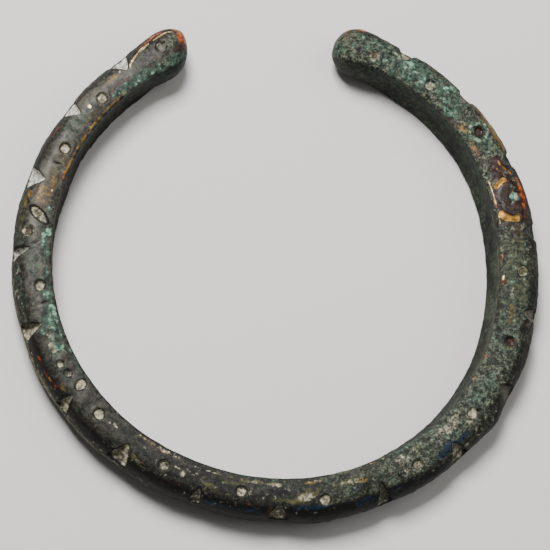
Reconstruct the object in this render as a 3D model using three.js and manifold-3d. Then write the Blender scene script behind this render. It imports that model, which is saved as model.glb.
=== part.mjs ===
// An old cast bronze bracelet: an open ring with a D-shaped section, solid throughout, with two
// rounded terminals. Round pits are drilled along its upper face, shield-shaped chips are cut
// into its upper outer shoulder between them, and it lies flat on a narrow worn strip.
// Units are millimetres and +Z is up. Angles are degrees, anticlockwise from +X, seen from above,
// about the centre of the wrist opening.

import * as THREE from 'three';
import { mergeVertices } from 'three/addons/utils/BufferGeometryUtils.js';
import Module from 'manifold-3d';

// The ring
const WRIST_RADIUS = 30;        // from the centre to the upper inner edge
const STATION_STEP = 3;         // degrees between two sections

// The bends and flats of a ring bent by hand: waves of the upper inner edge
const EDGE_WAVES = [
  { count: 2, rise: 0.32, crest: 13 },
  { count: 3, rise: 0.1, crest: 66 },
  { count: 4, rise: 0.14, crest: 38 },
  { count: 5, rise: 0.08, crest: 33 },
  { count: 6, rise: 0.06, crest: 36 },
];

// The first end is bent outwards a little
const END_BEND = { angle: 111, rise: 0.4, spread: 7 };

// The two terminals, each a blunt nose. core is where the nose's point lies across the band.
const FIRST_TERMINAL = { angle: 111.2, nose: 3.9, bluntness: 2.1, core: 0.66 };
const LAST_TERMINAL = { angle: 74.4, nose: 3.2, bluntness: 2.1, core: 0.36 };
const NOSE_STEPS = 6;
const SOFTENED_LENGTH = 11;     // the inner edges fade out over this length before a terminal
const SOFTENED_FLARE = 1;       // how far the rounded end of the band reaches inside the upper edge

// The section
const BAND_WIDTH = 5.25;        // upper inner edge to the outermost line, on average
const BAND_HEIGHT = 6.5;
const CROWN_OFFSET = 2.1;       // upper inner edge to the highest line
const EDGE_DROP = 0.28;         // how far the inner edges lie from the highest and lowest line
const INNER_FLARE = 0.65;       // the lower inner edge stands this much nearer the wrist
const FLARE_BUMP = { angle: 162, rise: 0.3, spread: 6 };  // and bulges in a little more here
const INNER_HOLLOW = 0.4;       // how deep the inner face is dished between its edges
const SHOULDER_POWER = 2.4;     // 2 is an ellipse, and more is squarer
const REST_WIDTH = 1.4;         // the flat strip that the bracelet lies on
const INNER_STEPS = 6;
const FACE_STEPS = 3;
const SHOULDER_STEPS = 6;

// The uneven width of a hand-finished casting: waves round the ring
const WIDTH_WAVES = [
  { count: 1, rise: 0.45, crest: 336 },
  { count: 2, rise: 0.13, crest: 336 },
  { count: 3, rise: 0.12, crest: 335 },
  { count: 4, rise: 0.11, crest: 10 },
];

// Where the band swells: at the crust lump, before each terminal and at the widest gap between chips
const SWELLINGS = [
  { angle: 323, rise: 0.35, spread: 3 },
  { angle: 117, rise: 0.35, spread: 5 },
  { angle: 67, rise: 0.2, spread: 4 },
  { angle: 278, rise: 0.22, spread: 5 },
];
const SCALLOP_RISE = 0.14;      // the metal stands out a little between two chips
const SCALLOP_SPREAD = 4;

// Drilled pits: the angle of each and its place across the band, from 0 inside to 1 outside
const PIT_DIAMETER = 1.6;
const PIT_DEPTH = 0.45;
const PIT_TAPER = 0.85;         // floor width over mouth width
const PITS = [
  [118.6, 0.52], [138, 0.4], [153.5, 0.38], [175, 0.66], [188, 0.35], [221.5, 0.41],
  [240.5, 0.46], [259.5, 0.45], [279, 0.57], [302.5, 0.53], [320.5, 0.44], [340, 0.45],
  [357.5, 0.52], [15.5, 0.56], [33, 0.48], [49, 0.38], [64.5, 0.3],
];

// Three further pits close together, smaller and worn
const WORN_PITS = [
  { angle: 207, across: 0.46, length: 1, width: 1, depth: 0.3, turn: 0 },
  { angle: 209.6, across: 0.41, length: 1.3, width: 1.1, depth: 0.2, turn: 0 },
  { angle: 213.6, across: 0.27, length: 1.8, width: 1.2, depth: 0.35, turn: 60 },
];

// A long slanting gouge across the upper face
const GOUGE = { angle: 171, across: 0.42, length: 3.4, width: 1.4, depth: 0.5, turn: -53 };

// Shield-shaped chips in the upper outer shoulder. The floor of each slopes from a point on the
// upper face down to a foot. point is how far the chip's point lies outside the highest line,
// notch is how far its foot lies inside the outermost line, and foot is the foot's height.
const CHIPS = [
  { angle: 128.6, width: 4.3, point: 0.5, notch: 0.55, foot: 3.7 },
  { angle: 144.4, width: 3.7, point: 0.5, notch: 0.55, foot: 3.7 },
  { angle: 162.4, width: 4.2, point: 0.4, notch: 0.55, foot: 3.7 },
  { angle: 179, width: 2.3, point: 0.6, notch: 0.5, foot: 3.7 },
  { angle: 196.8, width: 2.8, point: 0.45, notch: 0.5, foot: 3.8 },
  { angle: 214.5, width: 2.3, point: 0.9, notch: 0.55, foot: 4.1 },
  { angle: 231.2, width: 3.5, point: 0.2, notch: 0.7, foot: 4.4 },
  { angle: 250, width: 2, point: 0.7, notch: 0.5, foot: 4.5 },
  { angle: 268.6, width: 3.2, point: 1.1, notch: 0.6, foot: 4.4 },
  { angle: 292.6, width: 2.5, point: 0.5, notch: 0.55, foot: 3.8 },
  { angle: 312, width: 3.3, point: 1.2, notch: 0.6, foot: 4.2 },
  { angle: 329.5, width: 3.2, point: 1.2, notch: 0.5, foot: 4.2 },
  { angle: 347.8, width: 3.2, point: 1.3, notch: 0.5, foot: 3.9 },
  { angle: 7, width: 3.2, point: 1.3, notch: 0.35, foot: 3.7 },
  { angle: 24, width: 3.4, point: 1, notch: 0.45, foot: 3.7 },
  { angle: 41.2, width: 3.5, point: 0.6, notch: 0.45, foot: 3.7 },
  { angle: 57.8, width: 3.7, point: 0.6, notch: 0.5, foot: 3.7 },
];
const CHIP_TAIL = 0.6;          // each chip runs on this far below its foot
const CHIP_ROUNDING = 0.6;      // a chip's width grows with this power of the length from its point
const CHIP_CORNERS = [0.35, 0.7, 1];  // where the corners of its two sides are, as shares of its length
const CUTTER_PROUD = 2;         // how far each cutter stands out of the metal
const ROUND_SIDES = 12;

const BRONZE = { color: 0x4a4238, roughness: 0.55, metalness: 0.85 };

const radians = THREE.MathUtils.degToRad;
const wasm = await Module();
wasm.setup();

// The shorter way between two angles, in degrees
function turnBetween(angle, other) {
  return THREE.MathUtils.euclideanModulo(angle - other + 180, 360) - 180;
}

// A smooth hill of height 1 at an angle
function hill(angle, crest, spread) {
  return Math.exp(-((turnBetween(angle, crest) / spread) ** 2));
}

// The sum of a list of waves at an angle
function waveHeight(waves, angle) {
  return waves.reduce((sum, { count, rise, crest }) => (
    sum + rise * Math.cos(count * radians(angle - crest))
  ), 0);
}

// Radius of the upper inner edge
function edgeRadius(angle) {
  const bend = END_BEND.rise * hill(angle, END_BEND.angle, END_BEND.spread);
  return WRIST_RADIUS + waveHeight(EDGE_WAVES, angle) + bend;
}

// Upper inner edge to the outermost line at an angle
function bandWidth(angle) {
  let width = BAND_WIDTH + waveHeight(WIDTH_WAVES, angle);
  for (const swelling of SWELLINGS) {
    width += swelling.rise * hill(angle, swelling.angle, swelling.spread);
  }
  for (const chip of CHIPS) {
    width -= SCALLOP_RISE * hill(angle, chip.angle, SCALLOP_SPREAD);
  }
  return width + SCALLOP_RISE / 2;
}

// A point of a quarter superellipse: turn 0 is outermost, 90 is the top
function shoulder(reach, rise, turn) {
  const power = 2 / SHOULDER_POWER;
  return [
    reach * Math.max(Math.cos(radians(turn)), 0) ** power,
    rise * Math.max(Math.sin(radians(turn)), 0) ** power,
  ];
}

// The closed section at an angle as [across, height] points, anticlockwise from the lower inner
// edge: flat strip, lower shoulder, upper shoulder, upper face, dished inner face
function sectionPoints(angle) {
  const width = bandWidth(angle);
  const middle = BAND_HEIGHT / 2;
  const restStart = CROWN_OFFSET - REST_WIDTH / 2;
  const restEnd = CROWN_OFFSET + REST_WIDTH / 2;
  const flare = INNER_FLARE + FLARE_BUMP.rise * hill(angle, FLARE_BUMP.angle, FLARE_BUMP.spread);
  const points = [];
  for (let i = 0; i < FACE_STEPS; i += 1) {
    const left = 1 - i / FACE_STEPS;
    points.push([restStart - (restStart + flare) * left, EDGE_DROP * left ** 2]);
  }
  points.push([restStart, 0]);
  for (let i = 0; i < SHOULDER_STEPS; i += 1) {
    const [reach, rise] = shoulder(width - restEnd, middle, 90 - (90 * i) / SHOULDER_STEPS);
    points.push([restEnd + reach, middle - rise]);
  }
  for (let i = 0; i < SHOULDER_STEPS; i += 1) {
    const [reach, rise] = shoulder(width - CROWN_OFFSET, middle, (90 * i) / SHOULDER_STEPS);
    points.push([CROWN_OFFSET + reach, middle + rise]);
  }
  for (let i = 0; i < FACE_STEPS; i += 1) {
    const done = i / FACE_STEPS;
    points.push([CROWN_OFFSET * (1 - done), BAND_HEIGHT - EDGE_DROP * done ** 2]);
  }
  for (let i = 0; i < INNER_STEPS; i += 1) {
    const down = i / INNER_STEPS;
    const dish = INNER_HOLLOW * Math.sin(Math.PI * down);
    const height = BAND_HEIGHT - EDGE_DROP - (BAND_HEIGHT - 2 * EDGE_DROP) * down;
    points.push([dish - flare * down, height]);
  }
  return points;
}

// Moves a section point towards a rounded oval of the band's height, by a share from 0 to 1
function soften([across, height], width, share) {
  const centre = (width - SOFTENED_FLARE) / 2;
  const reach = (width + SOFTENED_FLARE) / 2;
  const middle = BAND_HEIGHT / 2;
  const turn = Math.atan2(height - middle, across - centre);
  const power = SHOULDER_POWER;
  const radius =
    (Math.abs(Math.cos(turn) / reach) ** power + Math.abs(Math.sin(turn) / middle) ** power)
    ** (-1 / power);
  return [
    THREE.MathUtils.lerp(across, centre + radius * Math.cos(turn), share),
    THREE.MathUtils.lerp(height, middle + radius * Math.sin(turn), share),
  ];
}

// A point of the ring's own frame in space
function ringPoint(angle, across, height) {
  const radius = edgeRadius(angle) + across;
  return new THREE.Vector3(
    radius * Math.cos(radians(angle)),
    radius * Math.sin(radians(angle)),
    height,
  );
}

// Millimetres along the band's middle line between an angle and a terminal's end
function lengthFrom(angle, terminal) {
  return radians(Math.abs(turnBetween(angle, terminal.angle))) * (WRIST_RADIUS + BAND_WIDTH / 2);
}

// The angles of all sections from one terminal to the other, closer together over the noses
function stationAngles() {
  const middleRadius = WRIST_RADIUS + BAND_WIDTH / 2;
  const first = FIRST_TERMINAL.angle;
  const last = LAST_TERMINAL.angle + 360;
  const firstNose = THREE.MathUtils.radToDeg(FIRST_TERMINAL.nose / middleRadius);
  const lastNose = THREE.MathUtils.radToDeg(LAST_TERMINAL.nose / middleRadius);
  const angles = [];
  for (let i = 1; i < NOSE_STEPS; i += 1) {
    angles.push(first + firstNose * (1 - Math.cos(radians((90 * i) / NOSE_STEPS))));
  }
  const sweep = last - lastNose - first - firstNose;
  const count = Math.round(sweep / STATION_STEP);
  for (let i = 0; i <= count; i += 1) {
    angles.push(first + firstNose + (sweep * i) / count);
  }
  for (let i = NOSE_STEPS - 1; i > 0; i -= 1) {
    angles.push(last - lastNose * (1 - Math.cos(radians((90 * i) / NOSE_STEPS))));
  }
  return angles;
}

// How much of the section is left at a length from a terminal: none at its end, all past its nose
function noseShare(length, terminal) {
  const left = Math.max(1 - length / terminal.nose, 0);
  return (1 - left ** terminal.bluntness) ** (1 / terminal.bluntness);
}

// The section at an angle, softened and drawn in near a terminal
function stationPoints(angle) {
  const width = bandWidth(angle);
  const toFirst = lengthFrom(angle, FIRST_TERMINAL);
  const toLast = lengthFrom(angle, LAST_TERMINAL);
  const terminal = toFirst < toLast ? FIRST_TERMINAL : LAST_TERMINAL;
  const length = Math.min(toFirst, toLast);
  const share = noseShare(length, terminal);
  const softness = 1 - THREE.MathUtils.smoothstep(length, terminal.nose, SOFTENED_LENGTH);
  const core = [terminal.core * width, BAND_HEIGHT / 2];
  return sectionPoints(angle).map((point) => {
    const [across, height] = soften(point, width, softness);
    return ringPoint(
      angle,
      core[0] + (across - core[0]) * share,
      core[1] + (height - core[1]) * share,
    );
  });
}

// The end point of a terminal's nose
function nosePoint(terminal) {
  return ringPoint(terminal.angle, terminal.core * bandWidth(terminal.angle), BAND_HEIGHT / 2);
}

// The plain band: sections joined by faces, closed by a fan at each nose point
function bandGeometry() {
  const rows = stationAngles().map(stationPoints);
  const sides = rows[0].length;
  const points = [...rows.flat(), nosePoint(FIRST_TERMINAL), nosePoint(LAST_TERMINAL)];
  const firstNose = points.length - 2;
  const lastNose = points.length - 1;
  const lastRow = (rows.length - 1) * sides;
  const faces = [];
  for (let side = 0; side < sides; side += 1) {
    const next = (side + 1) % sides;
    for (let row = 0; row < lastRow; row += sides) {
      faces.push(row + side, row + sides + next, row + next);
      faces.push(row + side, row + sides + side, row + sides + next);
    }
    faces.push(firstNose, side, next);
    faces.push(lastNose, lastRow + next, lastRow + side);
  }
  const geometry = new THREE.BufferGeometry().setFromPoints(points);
  geometry.setIndex(faces);
  return geometry;
}

// A closed solid from a geometry whose corners are shared
function solidOf(geometry) {
  const bare = geometry.clone();
  bare.deleteAttribute('normal');
  bare.deleteAttribute('uv');
  const merged = mergeVertices(bare, 1e-5);
  return new wasm.Manifold(new wasm.Mesh({
    numProp: 3,
    vertProperties: new Float32Array(merged.attributes.position.array),
    triVerts: new Uint32Array(merged.index.array),
  }));
}

// Height of the upper face at a place across the band
function faceHeight(angle, across) {
  const middle = BAND_HEIGHT / 2;
  if (across < CROWN_OFFSET) {
    return BAND_HEIGHT - EDGE_DROP * (1 - across / CROWN_OFFSET) ** 2;
  }
  const reach = (across - CROWN_OFFSET) / (bandWidth(angle) - CROWN_OFFSET);
  return middle + middle * (1 - reach ** SHOULDER_POWER) ** (1 / SHOULDER_POWER);
}

// Turns and moves a cutter made along +Z so that it stands on the upper face, square to it
function placeOnFace(geometry, angle, share, turn) {
  const across = share * bandWidth(angle);
  const step = 0.1;
  const slope = faceHeight(angle, across + step) - faceHeight(angle, across - step);
  const lean = Math.atan2(-slope, 2 * step);
  const place = ringPoint(angle, across, faceHeight(angle, across));
  geometry.rotateZ(radians(turn));
  geometry.rotateY(lean);
  geometry.rotateZ(radians(angle));
  geometry.translate(place.x, place.y, place.z);
  return geometry;
}

// A tapered round cutter for one pit
function pitCutter([angle, share]) {
  const radius = PIT_DIAMETER / 2;
  const growth = (radius * (1 - PIT_TAPER)) / PIT_DEPTH;
  const length = PIT_DEPTH + CUTTER_PROUD;
  const topRadius = radius + growth * CUTTER_PROUD;
  const cutter = new THREE.CylinderGeometry(topRadius, radius * PIT_TAPER, length, ROUND_SIDES);
  cutter.rotateX(Math.PI / 2);
  cutter.translate(0, 0, length / 2 - PIT_DEPTH);
  return placeOnFace(cutter, angle, share, 0);
}

// A round-bottomed oval cutter whose middle lies on the upper face
function ovalCutter({ angle, across, length, width, depth, turn }) {
  const cutter = new THREE.SphereGeometry(1, ROUND_SIDES, ROUND_SIDES / 2);
  cutter.rotateX(Math.PI / 2);
  cutter.scale(length / 2, width / 2, depth);
  return placeOnFace(cutter, angle, across, turn);
}

// A shield-shaped cutter for one chip, its underside on the chip's floor
function chipCutter({ angle, width, point, notch, foot }) {
  const across = CROWN_OFFSET + point;
  const height = faceHeight(angle, across);
  const run = bandWidth(angle) - notch - across;
  const fall = height - foot;
  const length = Math.hypot(run, fall) + CHIP_TAIL;
  const side = (half) => CHIP_CORNERS.map((share) => (
    new THREE.Vector2(length * share, half * share ** CHIP_ROUNDING)
  ));
  const outline = new THREE.Shape([
    new THREE.Vector2(0, 0), ...side(-width / 2), ...side(width / 2).reverse(),
  ]);
  const cutter = new THREE.ExtrudeGeometry(outline, { depth: CUTTER_PROUD, bevelEnabled: false });
  cutter.rotateY(Math.atan2(fall, run));
  cutter.rotateZ(radians(angle));
  const place = ringPoint(angle, across, height);
  cutter.translate(place.x, place.y, place.z);
  return cutter;
}

// The carved bracelet, set so that its box is centred over the origin and rests on z = 0
function braceletGeometry() {
  const cutters = [
    ...PITS.map(pitCutter),
    ...[...WORN_PITS, GOUGE].map(ovalCutter),
    ...CHIPS.map(chipCutter),
  ];
  let solid = solidOf(bandGeometry());
  for (const cutter of cutters) {
    solid = solid.subtract(solidOf(cutter));
  }
  const mesh = solid.getMesh();
  const geometry = new THREE.BufferGeometry();
  geometry.setAttribute('position', new THREE.BufferAttribute(mesh.vertProperties, 3));
  geometry.setIndex(new THREE.BufferAttribute(mesh.triVerts, 1));
  geometry.computeBoundingBox();
  const centre = geometry.boundingBox.getCenter(new THREE.Vector3());
  geometry.translate(-centre.x, -centre.y, -geometry.boundingBox.min.z);
  geometry.computeVertexNormals();
  return geometry;
}

const bracelet = new THREE.Mesh(braceletGeometry(), new THREE.MeshStandardMaterial(BRONZE));
bracelet.name = 'bracelet';

const group = new THREE.Group();
group.add(bracelet);

export default group;
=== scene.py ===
"""An old cast bronze bracelet lying on a pale table, seen from above.

The bracelet is one bronze bar bent into an open ring. Its surface is worked out as a grid: one
direction runs round the ring, the other round the section. Sizes are millimetres and degrees
unless a name says otherwise, angles run anticlockwise from +X about the wrist opening's centre,
and the mesh is put into the scene in metres.
"""

from __future__ import annotations

import enum
import itertools
import logging
import math
from dataclasses import dataclass, field

import bpy
import numpy as np
from mathutils import Matrix, Vector

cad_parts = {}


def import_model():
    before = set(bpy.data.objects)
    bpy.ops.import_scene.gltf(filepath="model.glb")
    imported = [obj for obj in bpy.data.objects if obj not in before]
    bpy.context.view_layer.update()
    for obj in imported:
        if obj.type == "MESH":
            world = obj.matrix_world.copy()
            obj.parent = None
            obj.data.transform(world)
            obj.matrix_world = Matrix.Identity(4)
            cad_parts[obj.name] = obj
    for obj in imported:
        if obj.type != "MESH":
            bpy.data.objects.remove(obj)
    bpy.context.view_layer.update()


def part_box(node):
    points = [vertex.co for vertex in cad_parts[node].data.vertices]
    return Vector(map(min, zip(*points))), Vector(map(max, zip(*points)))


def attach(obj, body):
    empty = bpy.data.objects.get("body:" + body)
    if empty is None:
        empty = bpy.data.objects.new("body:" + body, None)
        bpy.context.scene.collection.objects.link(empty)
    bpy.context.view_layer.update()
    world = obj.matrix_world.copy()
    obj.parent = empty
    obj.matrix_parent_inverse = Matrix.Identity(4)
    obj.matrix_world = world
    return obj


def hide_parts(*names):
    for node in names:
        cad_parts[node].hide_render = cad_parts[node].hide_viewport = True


LOG = logging.getLogger("bracelet")
MM = 0.001
NODE = "bracelet"
BODY = "root"
LATTICE_PRIMES = (73856093, 19349663, 83492791)
SEED_PRIME = 2654435761
HASH_PRIME = 1274126177
HASH_SHIFTS = (13, 16)
HASH_MOST = 0xFFFF


def linear(colour: str) -> tuple[float, float, float, float]:
    """Turn an sRGB hex colour into linear light, by the sRGB standard's own formula.

    Args:
        colour: six hex digits after a hash sign.

    Returns:
        Red, green, blue and an alpha of one, all linear.
    """
    values = []
    for start in (1, 3, 5):
        share = int(colour[start:start + 2], 16) / 255
        if share <= 0.04045:
            values.append(share / 12.92)
        else:
            values.append(((share + 0.055) / 1.055) ** 2.4)
    return values[0], values[1], values[2], 1.0


def smooth_step(
    low: float | np.ndarray, high: float | np.ndarray, value: np.ndarray,
) -> np.ndarray:
    """Rise smoothly from zero at low to one at high, by 3t^2 - 2t^3."""
    share = np.clip((value - low) / (high - low), 0, 1)
    return share * share * (3 - 2 * share)


def bell(value: np.ndarray, middle: float, spread: float) -> np.ndarray:
    """Give a bell curve, one at the middle: e to the power of minus (distance/spread)^2."""
    return np.exp(-((value - middle) / spread) ** 2)


def turn_between(angle: np.ndarray, other: float) -> np.ndarray:
    """Give the shorter way from other to angle, in degrees."""
    return (angle - other + 180) % 360 - 180


def lattice_noise(points: np.ndarray, size: float, seed: int) -> np.ndarray:
    """Give a smooth random field from -1 to 1.

    Each corner of a cubic lattice has a hashed value, and a point takes the mean of the eight
    around it, weighted by 3t^2 - 2t^3 along each axis.

    Args:
        points: the places, in millimetres.
        size: the width of one lattice cell, in millimetres.
        seed: a whole number that picks the field.

    Returns:
        One value a point.
    """
    scaled = points / size
    cell = np.floor(scaled).astype(np.int64)
    share = scaled - cell
    share = share * share * (3 - 2 * share)
    total = np.zeros(points.shape[:-1])
    for corner in itertools.product((0, 1), repeat=3):
        key = (cell + np.array(corner)) @ np.array(LATTICE_PRIMES) + seed * SEED_PRIME
        key = (key ^ (key >> HASH_SHIFTS[0])) * HASH_PRIME
        key = (key ^ (key >> HASH_SHIFTS[1])) & HASH_MOST
        weight = np.prod(np.where(np.array(corner) == 1, share, 1 - share), axis=-1)
        total += weight * (2 * key / HASH_MOST - 1)
    return total


def fractal_noise(points: np.ndarray, size: float, seed: int, octaves: int) -> np.ndarray:
    """Add octaves of lattice noise, each half the size and half the height of the last.

    Args:
        points: the places, in millimetres.
        size: the width of the first octave's lattice cell, in millimetres.
        seed: a whole number that picks the field.
        octaves: how many layers are added.

    Returns:
        One value a point, from -1 to 1.
    """
    layers = range(octaves)
    total = sum(lattice_noise(points, size / 2 ** i, seed + i) / 2 ** i for i in layers)
    return total / sum(0.5 ** i for i in layers)


@dataclass(frozen=True)
class Ripple:
    """One random field: how large its spots are, its seed, how far it swings and its octaves."""

    size: float
    seed: int
    swing: float = 1.0
    octaves: int = 1

    def at(self, points: np.ndarray) -> np.ndarray:
        """Give the field at each point, from minus to plus its swing."""
        return self.swing * fractal_noise(points, self.size, self.seed, self.octaves)


@dataclass(frozen=True)
class Terminal:
    """One blunt end of the ring: where it is, how long its nose is and how square.

    Core is the place that the nose is drawn in towards, as a share of the width.
    """

    angle: float
    nose: float
    bluntness: float
    core: float


@dataclass(frozen=True)
class Wave:
    """One wave of a hand-bent, hand-finished ring: so many round it, so high, highest there."""

    count: int
    rise: float
    crest: float

    def height(self, angle: np.ndarray) -> np.ndarray:
        """Give the wave's height at each angle, as a cosine."""
        return self.rise * np.cos(self.count * np.radians(angle - self.crest))


@dataclass(frozen=True)
class Swelling:
    """One smooth hill on the ring: where it is, how high and how far it spreads."""

    angle: float
    rise: float
    spread: float

    def height(self, angle: np.ndarray) -> np.ndarray:
        """Give the hill's height at each angle, as a bell curve."""
        return self.rise * bell(turn_between(angle, self.angle), 0, self.spread)


@dataclass(frozen=True)
class Steps:
    """How finely each stretch of the section and of the ring is divided."""

    lower_face: int = 6
    rest: int = 4
    lower_shoulder: int = 13
    upper_shoulder: int = 34
    upper_face: int = 13
    inner_face: int = 24
    nose: int = 16
    ring: int = 1010

    @property
    def crown(self) -> int:
        """Give the place of the highest line among the section's points."""
        return self.lower_face + self.rest + self.lower_shoulder + self.upper_shoulder


@dataclass
class BandForm:
    """The plain cast band, before anything is cut into it."""

    wrist_radius: float = 30.0
    edge_waves: tuple[Wave, ...] = (
        Wave(2, 0.32, 13), Wave(3, 0.1, 66), Wave(4, 0.14, 38), Wave(5, 0.08, 33), Wave(6, 0.06, 36),
    )
    end_bend: Swelling = Swelling(111, 0.4, 7)
    first: Terminal = Terminal(111.2, 3.9, 2.1, 0.66)
    last: Terminal = Terminal(74.4, 3.2, 2.1, 0.36)
    softened_length: float = 11.0
    softened_flare: float = 1.0
    band_width: float = 5.25
    band_height: float = 6.5
    crown: float = 2.1
    edge_drop: float = 0.28
    inner_flare: float = 0.65
    flare_bump: Swelling = Swelling(162, 0.3, 6)
    inner_hollow: float = 0.4
    shoulder_power: float = 2.4
    fine_steps: int = 4001
    rest_width: float = 1.4
    width_waves: tuple[Wave, ...] = (
        Wave(1, 0.45, 336), Wave(2, 0.13, 336), Wave(3, 0.12, 335), Wave(4, 0.11, 10),
    )
    swellings: tuple[Swelling, ...] = (
        Swelling(323, 0.35, 3), Swelling(117, 0.35, 5), Swelling(67, 0.2, 4), Swelling(278, 0.22, 5),
    )
    scallop_rise: float = 0.14
    scallop_spread: float = 4.0
    chip_angles: tuple[float, ...] = ()
    steps: Steps = Steps()

    def edge_radius(self, angle: np.ndarray) -> np.ndarray:
        """Give the radius of the upper inner edge: a circle with a few low waves and a bend."""
        radius = self.wrist_radius + sum(wave.height(angle) for wave in self.edge_waves)
        return radius + self.end_bend.height(angle)

    def width(self, angle: np.ndarray) -> np.ndarray:
        """Give the band's width: its mean, waves, swellings and a scallop between chips.

        Args:
            angle: the angles.

        Returns:
            The width at each angle.
        """
        width = self.band_width + sum(wave.height(angle) for wave in self.width_waves)
        width = width + sum(swelling.height(angle) for swelling in self.swellings)
        for chip in self.chip_angles:
            dip = bell(turn_between(angle, chip), 0, self.scallop_spread)
            width = width - self.scallop_rise * dip
        return width + self.scallop_rise / 2

    def quarter(self, steps: int) -> tuple[np.ndarray, np.ndarray]:
        """Give points of a quarter superellipse of size one, at even lengths along it.

        A fine run of cos and sin of the turn, to the power 2/n, is measured and shared out.

        Args:
            steps: how many points, without the last one.

        Returns:
            How far out and how far up each point is, from outermost to highest.
        """
        power = 2 / self.shoulder_power
        turn = np.linspace(0, np.pi / 2, self.fine_steps)
        out = np.clip(np.cos(turn), 0, 1) ** power
        up = np.clip(np.sin(turn), 0, 1) ** power
        length = np.concatenate([[0], np.cumsum(np.hypot(np.diff(out), np.diff(up)))])
        wanted = np.linspace(0, length[-1], steps, endpoint=False)
        return np.interp(wanted, length, out), np.interp(wanted, length, up)

    def section(self, angle: np.ndarray) -> tuple[np.ndarray, np.ndarray]:
        """Work out the closed section at each angle.

        From the lower inner edge it runs along the lower face (a parabola), the flat strip, two
        quarter superellipses for the outer side, the upper face (a parabola) and the inner face
        (a straight flare plus one half sine wave of hollow).

        Args:
            angle: the angles, one row of the grid each.

        Returns:
            Place across the band and height, as arrays of rows by section points.
        """
        width = self.width(angle)[:, None]
        middle = self.band_height / 2
        start = self.crown - self.rest_width / 2
        end = self.crown + self.rest_width / 2
        one = np.ones_like(width)
        steps = self.steps
        left = np.linspace(1, 0, steps.lower_face, endpoint=False)
        strip = np.linspace(start, end, steps.rest, endpoint=False)
        down_up, down_out = self.quarter(steps.lower_shoulder)
        up_out, up_up = self.quarter(steps.upper_shoulder)
        done = np.linspace(0, 1, steps.upper_face, endpoint=False)
        down = np.linspace(0, 1, steps.inner_face, endpoint=False)
        drop = self.edge_drop
        flare = self.inner_flare + self.flare_bump.height(angle)[:, None]
        across = [
            start - (start + flare) * left,
            one * strip,
            end + (width - end) * down_out,
            self.crown + (width - self.crown) * up_out,
            one * self.crown * (1 - done),
            self.inner_hollow * np.sin(np.pi * down) - flare * down,
        ]
        height = [
            one * drop * left ** 2,
            one * strip * 0,
            one * (middle - middle * down_up),
            one * (middle + middle * up_up),
            one * (self.band_height - drop * done ** 2),
            one * (self.band_height - drop - (self.band_height - 2 * drop) * down),
        ]
        return np.concatenate(across, axis=1), np.concatenate(height, axis=1)

    def length_from(self, angle: np.ndarray, terminal: Terminal) -> np.ndarray:
        """Give the length along the band's middle line between an angle and a terminal."""
        middle_radius = self.wrist_radius + self.band_width / 2
        return np.radians(np.abs(turn_between(angle, terminal.angle))) * middle_radius

    def angles(self) -> np.ndarray:
        """Give the angles of all rows, closer together over the two noses by a cosine rule.

        Returns:
            One angle a row, rising from the first terminal to the last.
        """
        middle_radius = self.wrist_radius + self.band_width / 2
        first, last = self.first.angle, self.last.angle + 360
        first_nose = math.degrees(self.first.nose / middle_radius)
        last_nose = math.degrees(self.last.nose / middle_radius)
        share = 1 - np.cos(np.linspace(0, np.pi / 2, self.steps.nose + 1)[1:-1])
        body = np.linspace(first + first_nose, last - last_nose, self.steps.ring)
        return np.concatenate([first + first_nose * share, body, last - last_nose * share[::-1]])

    def surface(self, angle: np.ndarray) -> np.ndarray:
        """Work out the plain surface.

        Near a terminal each section point moves towards a superellipse of the same height, and
        over the nose it is drawn in towards the core by (1 - (1 - length/nose)^b)^(1/b).

        Args:
            angle: the angles, one row of the grid each.

        Returns:
            Points as an array of rows by section points by three.
        """
        across, height = self.section(angle)
        width = self.width(angle)[:, None]
        middle = self.band_height / 2
        near_first = self.length_from(angle, self.first)
        near_last = self.length_from(angle, self.last)
        is_first = (near_first < near_last)[:, None]
        length = np.minimum(near_first, near_last)[:, None]
        nose = np.where(is_first, self.first.nose, self.last.nose)
        blunt = np.where(is_first, self.first.bluntness, self.last.bluntness)
        core = np.where(is_first, self.first.core, self.last.core) * width
        centre = (width - self.softened_flare) / 2
        reach = (width + self.softened_flare) / 2
        turn = np.arctan2(height - middle, across - centre)
        power = self.shoulder_power
        radius = (np.abs(np.cos(turn) / reach) ** power
                  + np.abs(np.sin(turn) / middle) ** power) ** (-1 / power)
        soft = 1 - smooth_step(nose, self.softened_length, length)
        across = across + soft * (centre + radius * np.cos(turn) - across)
        height = height + soft * (middle + radius * np.sin(turn) - height)
        share = (1 - np.clip(1 - length / nose, 0, 1) ** blunt) ** (1 / blunt)
        across = core + (across - core) * share
        height = middle + (height - middle) * share
        return self.ring_point(angle[:, None], across, height)

    def ring_point(self, angle: np.ndarray, across: np.ndarray, height: np.ndarray) -> np.ndarray:
        """Turn angle, place across the band and height into points in the ring's own frame.

        Args:
            angle: the angles.
            across: how far outside the upper inner edge each point is.
            height: how high each point is.

        Returns:
            Points, with x, y and z along the last axis.
        """
        angle, across, height = np.broadcast_arrays(angle, across, height)
        radius = self.edge_radius(angle) + across
        turn = np.radians(angle)
        return np.stack([radius * np.cos(turn), radius * np.sin(turn), height], axis=-1)

    def shoulder_height(self, angle: float, across: float) -> float:
        """Give the height of the upper shoulder at a place across: a quarter superellipse.

        Args:
            angle: the place round the ring.
            across: the place across the band.

        Returns:
            The height above the table.
        """
        reach = (across - self.crown) / (float(self.width(np.array(angle))) - self.crown)
        rise = self.band_height / 2
        power = self.shoulder_power
        return rise + rise * (1 - reach ** power) ** (1 / power)


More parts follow.
